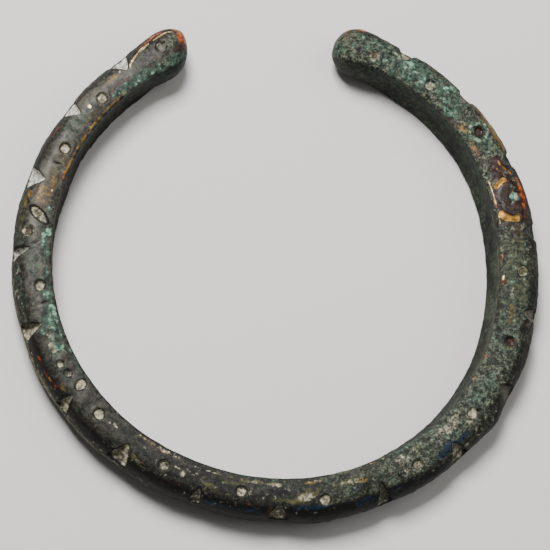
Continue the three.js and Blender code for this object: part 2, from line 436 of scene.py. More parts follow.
@dataclass
class Surface:
    """The band's surface while it is worked: the grid of points and what is measured on it.

    Across is measured outwards from the upper inner edge, and girth outwards from the highest
    line, along the skin. Strip edge is the pair of heights between which raising sets in.
    """

    form: BandForm
    rounding_passes: int = 2
    strip_edge: tuple[float, float] = (0.0, 0.6)
    tiny: float = 1e-12
    angle: np.ndarray = field(init=False)
    points: np.ndarray = field(init=False)
    normal: np.ndarray = field(init=False)
    across: np.ndarray = field(init=False)
    girth: np.ndarray = field(init=False)
    radius: np.ndarray = field(init=False)

    def __post_init__(self) -> None:
        """Work out the plain surface and measure it."""
        self.angle = self.form.angles()
        self.points = self.rounded(self.form.surface(self.angle), self.rounding_passes)
        self.normal = self.normals()
        self.radius = np.hypot(self.points[..., 0], self.points[..., 1])
        self.across = self.radius - self.form.edge_radius(self.angle)[:, None]
        steps = np.linalg.norm(np.diff(self.points, axis=1), axis=-1)
        length = np.concatenate([np.zeros((len(self.angle), 1)), np.cumsum(steps, axis=1)], axis=1)
        crown = self.form.steps.crown
        self.girth = length[:, crown:crown + 1] - length

    @staticmethod
    def rounded(points: np.ndarray, passes: int) -> np.ndarray:
        """Round the section's edges: each point moves half way to the mean of its neighbours.

        Args:
            points: the grid of points.
            passes: how often that is done.

        Returns:
            The rounded grid.
        """
        for _ in range(passes):
            neighbours = (np.roll(points, 1, axis=1) + np.roll(points, -1, axis=1)) / 2
            points = (points + neighbours) / 2
        return points

    def normals(self) -> np.ndarray:
        """Give outward directions: the cross product of the grid's two differences.

        Returns:
            One direction a point, of length one.
        """
        along = np.gradient(self.points, axis=0)
        around = np.roll(self.points, -1, axis=1) - np.roll(self.points, 1, axis=1)
        normal = np.cross(around, along)
        normal = normal / (np.linalg.norm(normal, axis=-1, keepdims=True) + self.tiny)
        middle = self.points.mean(axis=1, keepdims=True)
        facing = ((self.points - middle) * normal).sum()
        return normal if facing > 0 else -normal

    def along(self, angle: float) -> np.ndarray:
        """Give the millimetres along the ring from an angle to each point."""
        return np.radians(turn_between(self.angle, angle))[:, None] * self.radius

    def raise_by(self, height: np.ndarray) -> None:
        """Move the surface outwards by a height, but leave the strip that it lies on flat."""
        strip = smooth_step(*self.strip_edge, self.points[..., 2])
        self.points = self.points + self.normal * (height * strip)[..., None]

    def distance(self, spot: Patch) -> np.ndarray:
        """Give each point's distance from a patch's middle, as a share of its own half size.

        Args:
            spot: the patch, an oval that may be turned on the skin.

        Returns:
            One share a point: zero in the middle and one on the oval's edge.
        """
        turn = math.radians(spot.turn)
        along = self.along(spot.angle)
        out = self.girth - spot.girth
        first = along * math.cos(turn) + out * math.sin(turn)
        second = -along * math.sin(turn) + out * math.cos(turn)
        return np.hypot(first / (spot.length / 2), second / (spot.width / 2))


class Finish(enum.Enum):
    """What lies on the bronze, painted shade and light too, from the lowest layer to the highest."""

    SMOOTH = "smooth"
    TAN = "tan"
    GRANULAR = "granular"
    GRAINS = "grains"
    BROWN = "brown"
    SOOT = "soot"
    OLIVE = "olive"
    GREEN = "green"
    MINT = "mint"
    SHADE = "shade"
    BLUE = "blue"
    OCHRE = "ochre"
    CREAM = "cream"
    CHALK = "chalk"
    COPPER = "copper"
    GOLD = "gold"
    BRIGHT = "bright"
    HOLLOW = "hollow"


class Paint(dict[Finish, np.ndarray]):
    """How strongly each finish lies on each point of the surface."""

    @classmethod
    def none(cls, shape: tuple[int, int]) -> Paint:
        """Start with nothing on the skin."""
        return cls({finish: np.zeros(shape) for finish in Finish})

    def cover(self, finish: Finish, amount: np.ndarray) -> None:
        """Lay a finish on: the larger of what is there and what is laid on stays."""
        self[finish] = np.maximum(self[finish], amount)

    def clear(self, amount: np.ndarray) -> None:
        """Take every finish off by a share."""
        for finish in Finish:
            self[finish] = self[finish] * (1 - amount)


@dataclass(frozen=True)
class Patch:
    """One patch of a finish: where it is, how long along the ring, how wide and how turned.

    Girth is measured from the highest line, and is positive outwards.
    """

    finish: Finish
    angle: float
    girth: float
    length: float
    width: float
    strength: float = 1.0
    turn: float = 0.0


class PitFill(enum.Enum):
    """What lies on a pit's floor and round its wall, and how deep the painted shade on the wall is."""

    CREAM = (Finish.CREAM, 0.85, Finish.GRAINS, 0.7, 0.55)
    GREY = (Finish.SMOOTH, 0.8, Finish.CREAM, 0.4, 0.9)
    SPECKLED = (Finish.CREAM, 0.55, Finish.GRAINS, 0.8, 0.6)
    DARK = (Finish.BROWN, 0.95, Finish.BROWN, 0.5, 0.8)
    RUSTY = (Finish.BROWN, 0.9, Finish.OCHRE, 0.5, 0.6)
    OLIVE = (Finish.OLIVE, 0.9, Finish.CREAM, 0.6, 0.85)
    GREEN = (Finish.MINT, 0.9, Finish.CREAM, 0.5, 0.2)
    TAN = (Finish.TAN, 1.0, Finish.CREAM, 0.5, 0.4)


@dataclass(frozen=True)
class Pit:
    """One drilled pit: its place round the ring and across the band, and what fills it."""

    angle: float
    share: float
    fill: PitFill
    depth: float = 0.42
    diameter: float = 1.66


@dataclass(frozen=True)
class Hollow:
    """A round-bottomed oval cut: the gouge or a worn pit."""

    angle: float
    girth: float
    length: float
    width: float
    depth: float
    turn: float
    cream: float


@dataclass(frozen=True)
class Chip:
    """A shield-shaped chip: its floor runs from a point on the upper face down to a foot.

    Point is how far the chip's point lies outside the highest line, notch is how far its foot
    lies inside the outermost line, and foot is the foot's height. Twist is how much lower the
    floor is at its side of the larger angle, and lean moves the foot that way for each
    millimetre down the floor.
    """

    angle: float
    width: float
    point: float
    notch: float
    foot: float
    finish: Finish
    strength: float
    twist: float = 0.0
    lean: float = 0.0


PITS = (
    Pit(118.6, 0.52, PitFill.GREY),
    Pit(138, 0.4, PitFill.CREAM),
    Pit(153.5, 0.38, PitFill.CREAM),
    Pit(175, 0.66, PitFill.TAN),
    Pit(188, 0.35, PitFill.CREAM),
    Pit(221.5, 0.41, PitFill.CREAM),
    Pit(240.5, 0.46, PitFill.SPECKLED),
    Pit(259.5, 0.45, PitFill.SPECKLED),
    Pit(279, 0.57, PitFill.CREAM),
    Pit(302.5, 0.53, PitFill.SPECKLED),
    Pit(320.5, 0.44, PitFill.CREAM),
    Pit(340, 0.45, PitFill.RUSTY),
    Pit(357.5, 0.52, PitFill.OLIVE),
    Pit(15.5, 0.56, PitFill.GREEN, 0.3),
    Pit(33, 0.48, PitFill.DARK),
    Pit(49, 0.38, PitFill.SPECKLED),
    Pit(64.5, 0.3, PitFill.TAN, 0.22),
    Pit(207, 0.46, PitFill.SPECKLED, 0.25, 1.2),
)
HOLLOWS = (
    Hollow(171.0, 0.05, 3.4, 1.4, 0.45, -53, 0.62),
    Hollow(209.6, 0.0, 1.3, 1.1, 0.18, 0, 0.3),
    Hollow(213.5, -0.6, 1.9, 1.3, 0.32, 75, 0.9),
)
CHIPS = (
    Chip(128.6, 4.3, 0.5, 0.55, 3.7, Finish.CHALK, 1.0, 0.15),
    Chip(144.4, 3.7, 0.5, 0.55, 3.7, Finish.CHALK, 1.0, 0.15),
    Chip(162.4, 4.2, 0.4, 0.55, 3.7, Finish.CHALK, 1.0, 0.2),
    Chip(179, 2.3, 0.6, 0.5, 3.7, Finish.CHALK, 0.9, -0.1, 0.2),
    Chip(196.8, 2.8, 0.45, 0.5, 3.8, Finish.CREAM, 0.95, -0.2, 0.1),
    Chip(214.5, 2.3, 0.9, 0.55, 4.1, Finish.CREAM, 0.9, -0.15, 0.1),
    Chip(231.2, 3.5, 0.2, 0.7, 4.4, Finish.CREAM, 0.72, -0.1),
    Chip(250, 2.0, 0.7, 0.5, 4.5, Finish.CREAM, 0.52, 0.1),
    Chip(268.6, 3.2, 1.1, 0.6, 4.4, Finish.CREAM, 0.58, 0.1),
    Chip(292.6, 2.5, 0.5, 0.55, 3.8, Finish.CREAM, 0.42, 0.3),
    Chip(312, 3.3, 1.2, 0.6, 4.2, Finish.CREAM, 0.62, 0.2),
    Chip(329.5, 3.2, 1.2, 0.5, 4.2, Finish.GRAINS, 0.6, 0.1),
    Chip(347.8, 3.2, 1.3, 0.5, 3.9, Finish.CREAM, 0.5, 0.1),
    Chip(7, 3.2, 1.3, 0.35, 3.7, Finish.GRANULAR, 0.8),
    Chip(24, 3.4, 1.0, 0.45, 3.7, Finish.GRANULAR, 0.8, 0.1),
    Chip(41.2, 3.5, 0.6, 0.45, 3.7, Finish.GRAINS, 0.7),
    Chip(57.8, 3.7, 0.6, 0.5, 3.7, Finish.CREAM, 0.6, -0.1),
)
CRACKS = (
    Patch(Finish.HOLLOW, 148.9, 0.3, 2.4, 0.26, 0.8, 86),
    Patch(Finish.HOLLOW, 157.6, -0.3, 1.8, 0.3, 1.0, 80),
    Patch(Finish.HOLLOW, 159.0, -0.8, 1.1, 0.24, 0.9, 40),
    Patch(Finish.HOLLOW, 192.0, -0.5, 2.2, 0.34, 1.0, 75),
    Patch(Finish.HOLLOW, 190.4, 0.3, 1.2, 0.24, 0.8, 20),
    Patch(Finish.HOLLOW, 177.6, 0.0, 2.0, 0.28, 0.8, 50),
    Patch(Finish.HOLLOW, 240.0, 2.1, 4.2, 0.24, 0.7, 8),
)


@dataclass
class Carving:
    """Everything cut into the band, and the finish and painted shade that each cut leaves.

    Wall is how far a cut's wall slopes, and upper share the part of the band's height above
    which pits are cut. An inset is how far inside a pit's edge a finish lies. Chip wall is how
    far inside a chip's outline the painted shade on its wall lies, and how far it spreads.
    Another pair is the shares, or the depths, between which something sets in.
    """

    surface: Surface
    paint: Paint
    wall: float = 0.32
    upper_share: tuple[float, float] = (0.6, 0.7)
    pit_edge: Ripple = Ripple(0.7, 5, 0.07)
    rim_away: float = 0.12
    rim_rise: float = 0.035
    floor_inset: tuple[float, float] = (0.32, 0.08)
    ring_inset: float = 0.18
    ring_spread: float = 0.16
    shadow_inset: float = 0.02
    shadow_spread: float = 0.1
    recess_shade: float = 0.8
    hollow_edge: float = 0.14
    hollow_floor: tuple[float, float] = (0.25, 0.8)
    chip_floor: Ripple = Ripple(0.5, 12, 0.04)
    chip_edge: Ripple = Ripple(0.6, 11, 0.06)
    chip_mottle: Ripple = Ripple(0.45, 13, 0.2)
    chip_reach: float = 12.0
    tail: float = 0.6
    tail_fade: float = 0.4
    rounding: float = 0.6
    bared: tuple[float, float] = (0.01, 0.08)
    bared_gloss: float = 0.7
    chip_wall: tuple[float, float] = (0.04, 0.12)
    chip_wall_depth: tuple[float, float] = (0.08, 0.3)
    crack_wander: Ripple = Ripple(0.9, 21, 0.6)
    crack_depth: float = 0.1

    def pits(self, pits: tuple[Pit, ...]) -> None:
        """Sink the pits: a flat floor, a short steep wall and a low worn rim.

        Args:
            pits: all the pits.
        """
        surface = self.surface
        form = surface.form
        low, high = self.upper_share
        height = surface.points[..., 2]
        upper = smooth_step(form.band_height * low, form.band_height * high, height)
        wobble = self.pit_edge.at(surface.points)
        for pit in pits:
            middle = pit.share * form.width(np.array(pit.angle))
            away = np.hypot(surface.along(pit.angle), surface.across - middle) + wobble
            radius = pit.diameter / 2
            inside = (1 - smooth_step(radius - self.wall, radius, away)) * upper
            rim = bell(away, radius + self.rim_away, self.rim_away) * upper
            surface.raise_by(self.rim_rise * rim - pit.depth * inside)
            floor_finish, floor_strength, ring_finish, ring_strength, shadow = pit.fill.value
            first, last = self.floor_inset
            floor = (1 - smooth_step(radius - first, radius - last, away)) * upper
            ring = bell(away, radius - self.ring_inset, self.ring_spread) * upper
            shaded = bell(away, radius - self.shadow_inset, self.shadow_spread) * upper
            self.paint.clear(inside)
            self.paint.cover(Finish.HOLLOW, shadow * shaded)
            self.paint.cover(floor_finish, floor_strength * floor)
            self.paint.cover(ring_finish, ring_strength * ring)

    def hollows(self, hollows: tuple[Hollow, ...]) -> None:
        """Scoop the ovals: depth falls from the middle as the root of one minus distance squared.

        Args:
            hollows: the gouge and the worn pits.
        """
        for hollow in hollows:
            spot = Patch(
                Finish.HOLLOW, hollow.angle, hollow.girth, hollow.length, hollow.width, 1, hollow.turn,
            )
            away = self.surface.distance(spot)
            bowl = np.sqrt(np.clip(1 - away ** 2, 0, 1))
            self.surface.raise_by(-hollow.depth * bowl)
            self.paint.clear(bowl)
            # Painted shade round the oval's edge
            self.paint.cover(Finish.HOLLOW, self.recess_shade * bell(away, 1, self.hollow_edge))
            self.paint.cover(Finish.CREAM, hollow.cream * smooth_step(*self.hollow_floor, bowl))

    def chips(self, chips: tuple[Chip, ...]) -> None:
        """Cut the chips: inside each outline the metal above a sloping floor is taken off.

        Half the outline's width grows with the length from its point, to the power rounding.

        Args:
            chips: all the chips.
        """
        surface = self.surface
        form = surface.form
        rough = self.chip_floor.at(surface.points)
        ragged = self.chip_edge.at(surface.points)
        mottle = 1 - self.chip_mottle.swing + self.chip_mottle.at(surface.points)
        for chip in chips:
            angle = np.array(chip.angle)
            start = form.crown + chip.point
            high = form.shoulder_height(chip.angle, start)
            point = form.ring_point(angle, np.array(start), np.array(high))
            end = form.width(angle) - chip.notch
            foot = form.ring_point(angle, end, np.array(chip.foot))
            run = float(np.linalg.norm(foot - point))
            down = (foot - point) / run
            turn = math.radians(chip.angle)
            side = np.array([-math.sin(turn), math.cos(turn), 0])
            facing = np.cross(down, side)
            from_point = surface.points - point
            height, low = from_point @ facing, from_point @ down
            beside = from_point @ side - chip.lean * low
            length = run + self.tail
            half = chip.width / 2
            width = half * np.clip(low / length, 0, 1) ** self.rounding
            edge = (width - np.abs(beside)) * length / math.hypot(length, half) + ragged
            near = np.abs(turn_between(surface.angle, chip.angle))[:, None] < self.chip_reach
            inside = smooth_step(0, self.wall, edge) * near
            inside = inside * smooth_step(0, self.tail_fade, length - low)
            floor = rough - chip.twist * beside / half
            cut = np.clip(height - floor, 0, None) * inside
            surface.points = surface.points - facing * cut[..., None]
            bare = inside * smooth_step(*self.bared, cut)
            self.paint.clear(bare)
            self.paint.cover(chip.finish, bare * chip.strength * mottle)
            self.paint.cover(Finish.SMOOTH, bare * self.bared_gloss)
            # Painted shade along the chip's wall
            deep = smooth_step(*self.chip_wall_depth, height - floor)
            wall = bell(edge, *self.chip_wall) * deep * near * (low > 0) * (low < length)
            self.paint.cover(Finish.HOLLOW, self.recess_shade * wall)

    def cracks(self, cracks: tuple[Patch, ...]) -> None:
        """Open the cracks: thin grooves that wander a little.

        Args:
            cracks: one narrow patch each, whose strength is a share of the full depth.
        """
        wander = np.abs(self.crack_wander.at(self.surface.points))
        for crack in cracks:
            groove = bell(self.surface.distance(crack) + wander, 0, 1) * crack.strength
            self.surface.raise_by(-self.crack_depth * groove)
            # Painted shade in the crack
            self.paint.cover(Finish.HOLLOW, groove)


PATCHES = (
    # Left terminal
    Patch(Finish.SMOOTH, 117.0, 0.6, 9.0, 3.4, 0.95),
    Patch(Finish.GRAINS, 115.6, 0.9, 2.6, 1.8, 0.8),
    Patch(Finish.COPPER, 112.6, 0.5, 1.5, 2.6, 1.0),
    Patch(Finish.COPPER, 113.4, 2.2, 2.2, 1.4, 0.9, 60),
    Patch(Finish.BROWN, 114.0, -1.0, 2.4, 1.6, 0.9),
    Patch(Finish.COPPER, 117.0, 3.1, 5.5, 1.2, 0.62),
    Patch(Finish.TAN, 121.5, 2.6, 5.5, 1.0, 0.85),
    Patch(Finish.COPPER, 120.5, 2.8, 3.5, 0.7, 0.5),
    # Pale bronze along the end's shoulder, with a painted highlight on it
    Patch(Finish.BRIGHT, 117.6, 2.3, 4.4, 0.5, 1.0, -2),
    Patch(Finish.BRIGHT, 122.0, 2.1, 3.2, 0.48, 1.0, -10),
    Patch(Finish.BRIGHT, 125.2, 1.5, 2.6, 0.44, 0.95, -26),
    Patch(Finish.BRIGHT, 127.2, 0.85, 1.2, 0.4, 0.8, -35),
    Patch(Finish.BRIGHT, 114.8, 2.05, 1.6, 0.4, 0.8, 26),
    Patch(Finish.GREEN, 117.0, -2.7, 7.0, 3.2, 1.1),
    Patch(Finish.MINT, 117.0, -2.4, 6.0, 2.6, 0.18),
    Patch(Finish.GRAINS, 118.0, -2.2, 9.0, 2.6, 1.0),
    Patch(Finish.GREEN, 125.0, -1.8, 7.5, 2.4, 1.1),
    Patch(Finish.MINT, 124.5, -1.6, 6.5, 1.6, 0.3),
    Patch(Finish.GRAINS, 125.5, -1.6, 8.0, 1.6, 1.0),
    Patch(Finish.GREEN, 131.0, -1.3, 5.0, 1.2, 1.1),
    Patch(Finish.MINT, 131.0, -1.1, 5.0, 0.9, 0.22),
    # Upper left arm
    Patch(Finish.SMOOTH, 140.0, 0.2, 20.0, 3.8, 0.95),
    Patch(Finish.SMOOTH, 157.0, 0.2, 18.0, 3.8, 0.95),
    Patch(Finish.BROWN, 152.0, 0.8, 8.0, 1.6, 0.5),
    Patch(Finish.BROWN, 134.0, -0.3, 5.0, 1.4, 0.5),
    Patch(Finish.GREEN, 147.5, 0.3, 5.0, 2.6, 0.48),
    Patch(Finish.TAN, 142.0, -0.9, 9.0, 1.0, 0.6),
    Patch(Finish.OCHRE, 132.2, 0.9, 2.4, 1.0, 0.5),
    Patch(Finish.CREAM, 131.6, 0.3, 1.6, 0.6, 0.3),
    Patch(Finish.TAN, 136.0, 0.9, 4.5, 0.8, 0.6),
    Patch(Finish.BRIGHT, 141.7, 0.25, 0.55, 0.5, 0.8),
    Patch(Finish.BRIGHT, 130.4, 1.0, 0.5, 0.4, 0.6),
    Patch(Finish.GOLD, 143.3, -0.1, 0.4, 0.35, 0.5),
    Patch(Finish.BROWN, 137.5, 2.25, 6.0, 0.5, 0.85),
    Patch(Finish.BROWN, 154.0, 2.3, 7.5, 0.45, 0.85),
    Patch(Finish.COPPER, 151.0, 2.3, 2.5, 0.3, 0.5),
    Patch(Finish.GREEN, 148.0, 1.2, 7.0, 1.0, 0.45),
    Patch(Finish.OCHRE, 138.5, -1.65, 6.0, 0.34, 0.9),
    Patch(Finish.OCHRE, 144.8, -1.65, 6.0, 0.34, 0.85),
    Patch(Finish.GOLD, 145.0, -1.65, 2.0, 0.22, 0.6),
    Patch(Finish.OCHRE, 150.3, -1.62, 5.0, 0.4, 1.0),
    Patch(Finish.GOLD, 152.6, -1.6, 2.5, 0.24, 0.6),
    Patch(Finish.OCHRE, 158.0, -1.7, 5.0, 0.4, 0.8),
    Patch(Finish.COPPER, 160.4, -1.6, 1.6, 0.3, 0.5),
    Patch(Finish.OCHRE, 163.5, -1.2, 2.0, 0.4, 0.6),
    Patch(Finish.TAN, 158.0, -0.2, 9.0, 2.6, 0.6),
    Patch(Finish.TAN, 165.5, 0.0, 6.5, 2.8, 0.8),
    Patch(Finish.OCHRE, 162.4, -0.5, 3.0, 1.2, 0.5),
    Patch(Finish.OCHRE, 166.4, 0.3, 3.6, 1.6, 0.52),
    Patch(Finish.OCHRE, 164.5, -0.8, 3.0, 1.0, 0.5),
    Patch(Finish.GOLD, 166.4, 1.9, 0.8, 0.5, 0.9),
    Patch(Finish.BRIGHT, 164.6, -0.9, 0.5, 0.3, 0.7),
    # Left side
    Patch(Finish.SMOOTH, 180.0, 0.4, 14.0, 3.6, 0.95),
    Patch(Finish.SMOOTH, 190.0, 0.6, 9.0, 3.4, 0.9),
    Patch(Finish.OLIVE, 171.5, 2.4, 8.5, 1.0, 0.9),
    Patch(Finish.BROWN, 173.2, -1.2, 1.6, 1.0, 0.8),
    Patch(Finish.OLIVE, 165.0, -3.7, 9.0, 1.4, 0.85),
    Patch(Finish.OCHRE, 168.6, 2.2, 2.4, 0.6, 0.6),
    Patch(Finish.OLIVE, 164.0, 3.0, 3.0, 0.7, 0.5),
    Patch(Finish.MINT, 169.6, -1.1, 1.4, 0.6, 0.48),
    Patch(Finish.MINT, 175.3, -1.1, 2.2, 1.3, 0.8, 30),
    Patch(Finish.CREAM, 158.0, -3.4, 30.0, 1.2, 0.2),
    Patch(Finish.GREEN, 150.0, -3.3, 30.0, 1.6, 0.6),
    Patch(Finish.CREAM, 175.6, -1.1, 1.2, 0.7, 0.34),
    Patch(Finish.MINT, 177.6, -1.0, 1.4, 0.6, 0.4, 20),
    Patch(Finish.GREEN, 173.6, -1.5, 2.4, 0.8, 1.0),
    Patch(Finish.GREEN, 180.4, -1.4, 3.2, 1.0, 1.05),
    Patch(Finish.MINT, 179.8, -1.5, 2.2, 0.4, 0.36, 10),
    Patch(Finish.MINT, 185.0, -1.4, 3.4, 0.5, 0.36, -8),
    Patch(Finish.GREEN, 186.4, -1.2, 3.6, 1.2, 0.9),
    Patch(Finish.MINT, 190.4, -0.8, 1.8, 0.8, 0.42, 50),
    Patch(Finish.GREEN, 186.5, 2.8, 5.5, 1.0, 1.05),
    Patch(Finish.GREEN, 177.0, 2.4, 2.0, 1.0, 0.9),
    Patch(Finish.GREEN, 190.5, 2.3, 3.0, 0.8, 0.85),
    Patch(Finish.GREEN, 182.0, 0.6, 5.0, 2.4, 0.38),
    Patch(Finish.MINT, 195.0, -1.2, 3.0, 1.1, 0.5),
    Patch(Finish.MINT, 198.6, 0.7, 1.8, 1.0, 0.5, -20),
    Patch(Finish.MINT, 200.3, 0.1, 2.0, 1.2, 0.56, -30),
    Patch(Finish.MINT, 203.0, -0.3, 1.7, 1.0, 0.5, -50),
    Patch(Finish.MINT, 203.8, -1.0, 1.4, 0.7, 0.56),
    Patch(Finish.MINT, 197.6, -0.7, 2.0, 0.9, 0.46),
    Patch(Finish.CREAM, 200.4, 0.2, 4.0, 1.6, 0.4),
    Patch(Finish.MINT, 201.0, -1.4, 2.4, 0.5, 0.55),
    Patch(Finish.GREEN, 199.5, -0.3, 6.5, 2.8, 0.92),
    Patch(Finish.GREEN, 208.0, -1.6, 7.0, 0.5, 1.05),
    Patch(Finish.MINT, 206.5, -1.7, 4.5, 0.26, 0.43),
    # Lower left
    Patch(Finish.OLIVE, 186.0, 4.7, 30.0, 2.2, 0.8),
    Patch(Finish.CREAM, 187.0, 2.8, 9.0, 1.2, 0.2),
    Patch(Finish.GRAINS, 187.0, 2.8, 12.0, 1.6, 1.0),
    Patch(Finish.OLIVE, 208.0, 5.0, 26.0, 2.4, 0.75),
    Patch(Finish.OLIVE, 228.0, 5.3, 22.0, 2.0, 0.66),
    Patch(Finish.CREAM, 205.0, 4.6, 50.0, 3.0, 0.22),
    Patch(Finish.GREEN, 176.0, -1.0, 8.0, 1.8, 0.62),
    Patch(Finish.GREEN, 192.0, -0.8, 8.0, 1.8, 0.7),
    Patch(Finish.OCHRE, 200.0, 4.9, 22.0, 1.6, 0.42),
    Patch(Finish.CREAM, 214.0, 5.3, 16.0, 1.2, 0.3),
    Patch(Finish.OCHRE, 226.0, 5.2, 16.0, 1.4, 0.42),
    Patch(Finish.CREAM, 240.0, 5.6, 14.0, 0.9, 0.3),
    Patch(Finish.SMOOTH, 213.0, 0.0, 18.0, 2.8, 0.55),
    Patch(Finish.BROWN, 204.0, 2.7, 6.0, 1.2, 0.9),
    Patch(Finish.BROWN, 210.0, 2.6, 3.0, 1.2, 0.9),
    Patch(Finish.COPPER, 203.8, 2.65, 1.9, 0.8, 0.5),
    Patch(Finish.COPPER, 207.6, 2.7, 1.8, 1.0, 0.36),
    Patch(Finish.GOLD, 208.6, 2.6, 1.0, 0.3, 0.5),
    Patch(Finish.COPPER, 210.4, 2.1, 1.8, 1.0, 0.36, -25),
    Patch(Finish.OCHRE, 211.6, 1.7, 1.6, 0.9, 0.6, -30),
    Patch(Finish.GREEN, 209.2, 0.1, 2.2, 1.9, 0.6),
    Patch(Finish.MINT, 209.4, -0.4, 1.0, 0.8, 0.33),
    Patch(Finish.CREAM, 209.0, 0.4, 0.8, 0.6, 0.28),
    Patch(Finish.BROWN, 217.6, 2.6, 2.0, 1.2, 1.0),
    Patch(Finish.BROWN, 223.5, 2.3, 5.5, 0.9, 0.9),
    Patch(Finish.SOOT, 217.6, 0.1, 1.6, 1.6, 0.6),
    Patch(Finish.SOOT, 229.0, -0.6, 4.5, 1.2, 0.5),
    Patch(Finish.CREAM, 224.8, 0.0, 0.6, 1.7, 0.44),
    Patch(Finish.CREAM, 226.0, -0.6, 1.6, 0.5, 0.44),
    Patch(Finish.GREEN, 226.5, 1.9, 2.2, 0.5, 0.5),
    Patch(Finish.OLIVE, 234.4, 1.5, 2.2, 0.45, 1.3, 20),
    Patch(Finish.OLIVE, 236.6, 2.0, 2.6, 0.5, 1.2, 10),
    Patch(Finish.MINT, 235.0, 1.7, 1.6, 0.2, 0.48, 14),
    Patch(Finish.OLIVE, 240.5, 2.5, 3.0, 0.5, 0.9),
    Patch(Finish.BROWN, 235.6, 1.35, 2.2, 0.5, 0.9, 10),
    Patch(Finish.BROWN, 245.4, 1.6, 2.6, 0.6, 0.9),
    Patch(Finish.CREAM, 245.2, 0.4, 0.7, 1.3, 0.57, 15),
    Patch(Finish.CREAM, 243.6, -0.2, 1.6, 0.5, 0.42),
    Patch(Finish.SOOT, 235.6, 0.2, 3.6, 0.7, 0.8, 12),
    Patch(Finish.SOOT, 243.0, 0.9, 3.4, 0.6, 0.8, -8),
    Patch(Finish.SOOT, 246.4, -0.6, 4.0, 0.5, 0.75, 6),
    Patch(Finish.SOOT, 255.6, -0.3, 4.4, 0.6, 0.85, 8),
    Patch(Finish.SOOT, 263.4, 0.5, 3.6, 0.6, 0.85, -10),
    Patch(Finish.SOOT, 268.0, -0.2, 4.4, 0.6, 0.85, 7),
    Patch(Finish.SOOT, 248.6, -0.2, 2.6, 1.2, 0.6),
    # Bottom
    Patch(Finish.OLIVE, 252.0, 0.5, 3.4, 0.8, 0.95, 12),
    Patch(Finish.OLIVE, 253.6, 1.0, 2.6, 0.5, 1.0, 8),
    Patch(Finish.CREAM, 254.2, 0.6, 1.4, 0.35, 0.52),
    Patch(Finish.OLIVE, 257.4, -0.6, 3.0, 0.6, 0.85, -8),
    Patch(Finish.OLIVE, 256.6, 1.0, 1.4, 0.4, 0.9),
    Patch(Finish.OCHRE, 238.0, -1.35, 8.0, 0.6, 0.5),
    Patch(Finish.CREAM, 238.0, -1.5, 9.0, 0.4, 0.48),
    Patch(Finish.CREAM, 250.0, -1.3, 5.0, 0.4, 0.46),
    Patch(Finish.CREAM, 262.2, -1.2, 1.6, 0.5, 0.62),
    Patch(Finish.CREAM, 267.0, -1.1, 3.0, 0.5, 0.58),
    Patch(Finish.OLIVE, 263.5, -1.3, 8.0, 0.6, 0.9),
    Patch(Finish.GREEN, 261.5, -1.8, 10.0, 0.45, 0.8),
    Patch(Finish.MINT, 268.2, -1.2, 1.4, 0.4, 0.58),
    Patch(Finish.OLIVE, 270.0, 1.0, 3.0, 0.6, 1.15, 6),
    # The dark grime on the bottom's outer shoulder and side here is also painted shade
    Patch(Finish.SOOT, 222.0, 3.3, 26.0, 1.2, 0.72),
    Patch(Finish.SOOT, 257.5, 2.7, 11.0, 1.7, 1.0),
    Patch(Finish.BLUE, 254.0, 2.8, 5.5, 0.9, 0.9),
    Patch(Finish.BLUE, 261.8, 2.7, 5.5, 0.8, 0.85),
    Patch(Finish.COPPER, 261.9, 1.75, 0.9, 0.5, 0.5),
    Patch(Finish.OCHRE, 266.6, 2.3, 1.0, 1.2, 0.7),
    Patch(Finish.COPPER, 270.4, 2.9, 0.8, 0.6, 0.5),
    # The dark grime on the bottom's outer shoulder and side here is also painted shade
    Patch(Finish.SOOT, 278.5, 2.4, 11.0, 1.2, 0.95),
    Patch(Finish.SOOT, 268.0, 5.0, 50.0, 3.0, 0.9),
    Patch(Finish.BLUE, 276.5, 1.95, 7.0, 0.7, 0.85),
    Patch(Finish.OLIVE, 274.6, 0.5, 3.4, 1.2, 1.1, -12),
    Patch(Finish.CREAM, 274.4, 0.6, 3.0, 1.0, 0.5, -12),
    Patch(Finish.CREAM, 275.2, 0.2, 1.8, 0.4, 0.57),
    Patch(Finish.OLIVE, 276.6, -0.2, 2.6, 0.9, 0.95),
    Patch(Finish.OCHRE, 277.5, -1.3, 3.2, 0.5, 0.7),
    Patch(Finish.CREAM, 278.0, -1.4, 1.8, 0.3, 0.52),
    Patch(Finish.BLUE, 286.2, 0.6, 2.2, 0.6, 1.0, -14),
    Patch(Finish.BLUE, 284.0, 0.2, 1.6, 0.5, 0.6),
    Patch(Finish.OCHRE, 289.2, -0.2, 1.5, 0.6, 0.9),
    Patch(Finish.OLIVE, 284.2, 0.4, 2.0, 0.6, 0.9),
    Patch(Finish.OLIVE, 286.4, -0.5, 5.0, 0.9, 1.0),
    Patch(Finish.CREAM, 286.4, -0.5, 5.0, 0.7, 0.46),
    Patch(Finish.CREAM, 287.0, -0.2, 1.6, 0.3, 0.52),
    Patch(Finish.SOOT, 281.0, -0.4, 5.0, 1.2, 0.5),
    Patch(Finish.SOOT, 291.2, 0.4, 9.0, 2.6, 0.62),
    Patch(Finish.BROWN, 290.0, -1.65, 9.0, 0.4, 0.85),
    Patch(Finish.BRIGHT, 294.0, -1.9, 7.0, 0.18, 0.42),
    # Lower right
    # The dark grime on the outer shoulder here is also painted shade
    Patch(Finish.SOOT, 295.6, 2.6, 5.0, 1.9, 0.95),
    Patch(Finish.SOOT, 289.0, 2.7, 3.4, 1.8, 0.95),
    Patch(Finish.BLUE, 288.0, 2.6, 3.0, 1.4, 0.75),
    Patch(Finish.BLUE, 295.4, 2.8, 3.0, 1.4, 0.6),
    Patch(Finish.SOOT, 304.5, 3.1, 6.0, 1.4, 0.75),
    Patch(Finish.CREAM, 299.0, 1.0, 1.6, 1.0, 0.34),
    Patch(Finish.CREAM, 300.2, -0.5, 2.4, 1.2, 0.38),
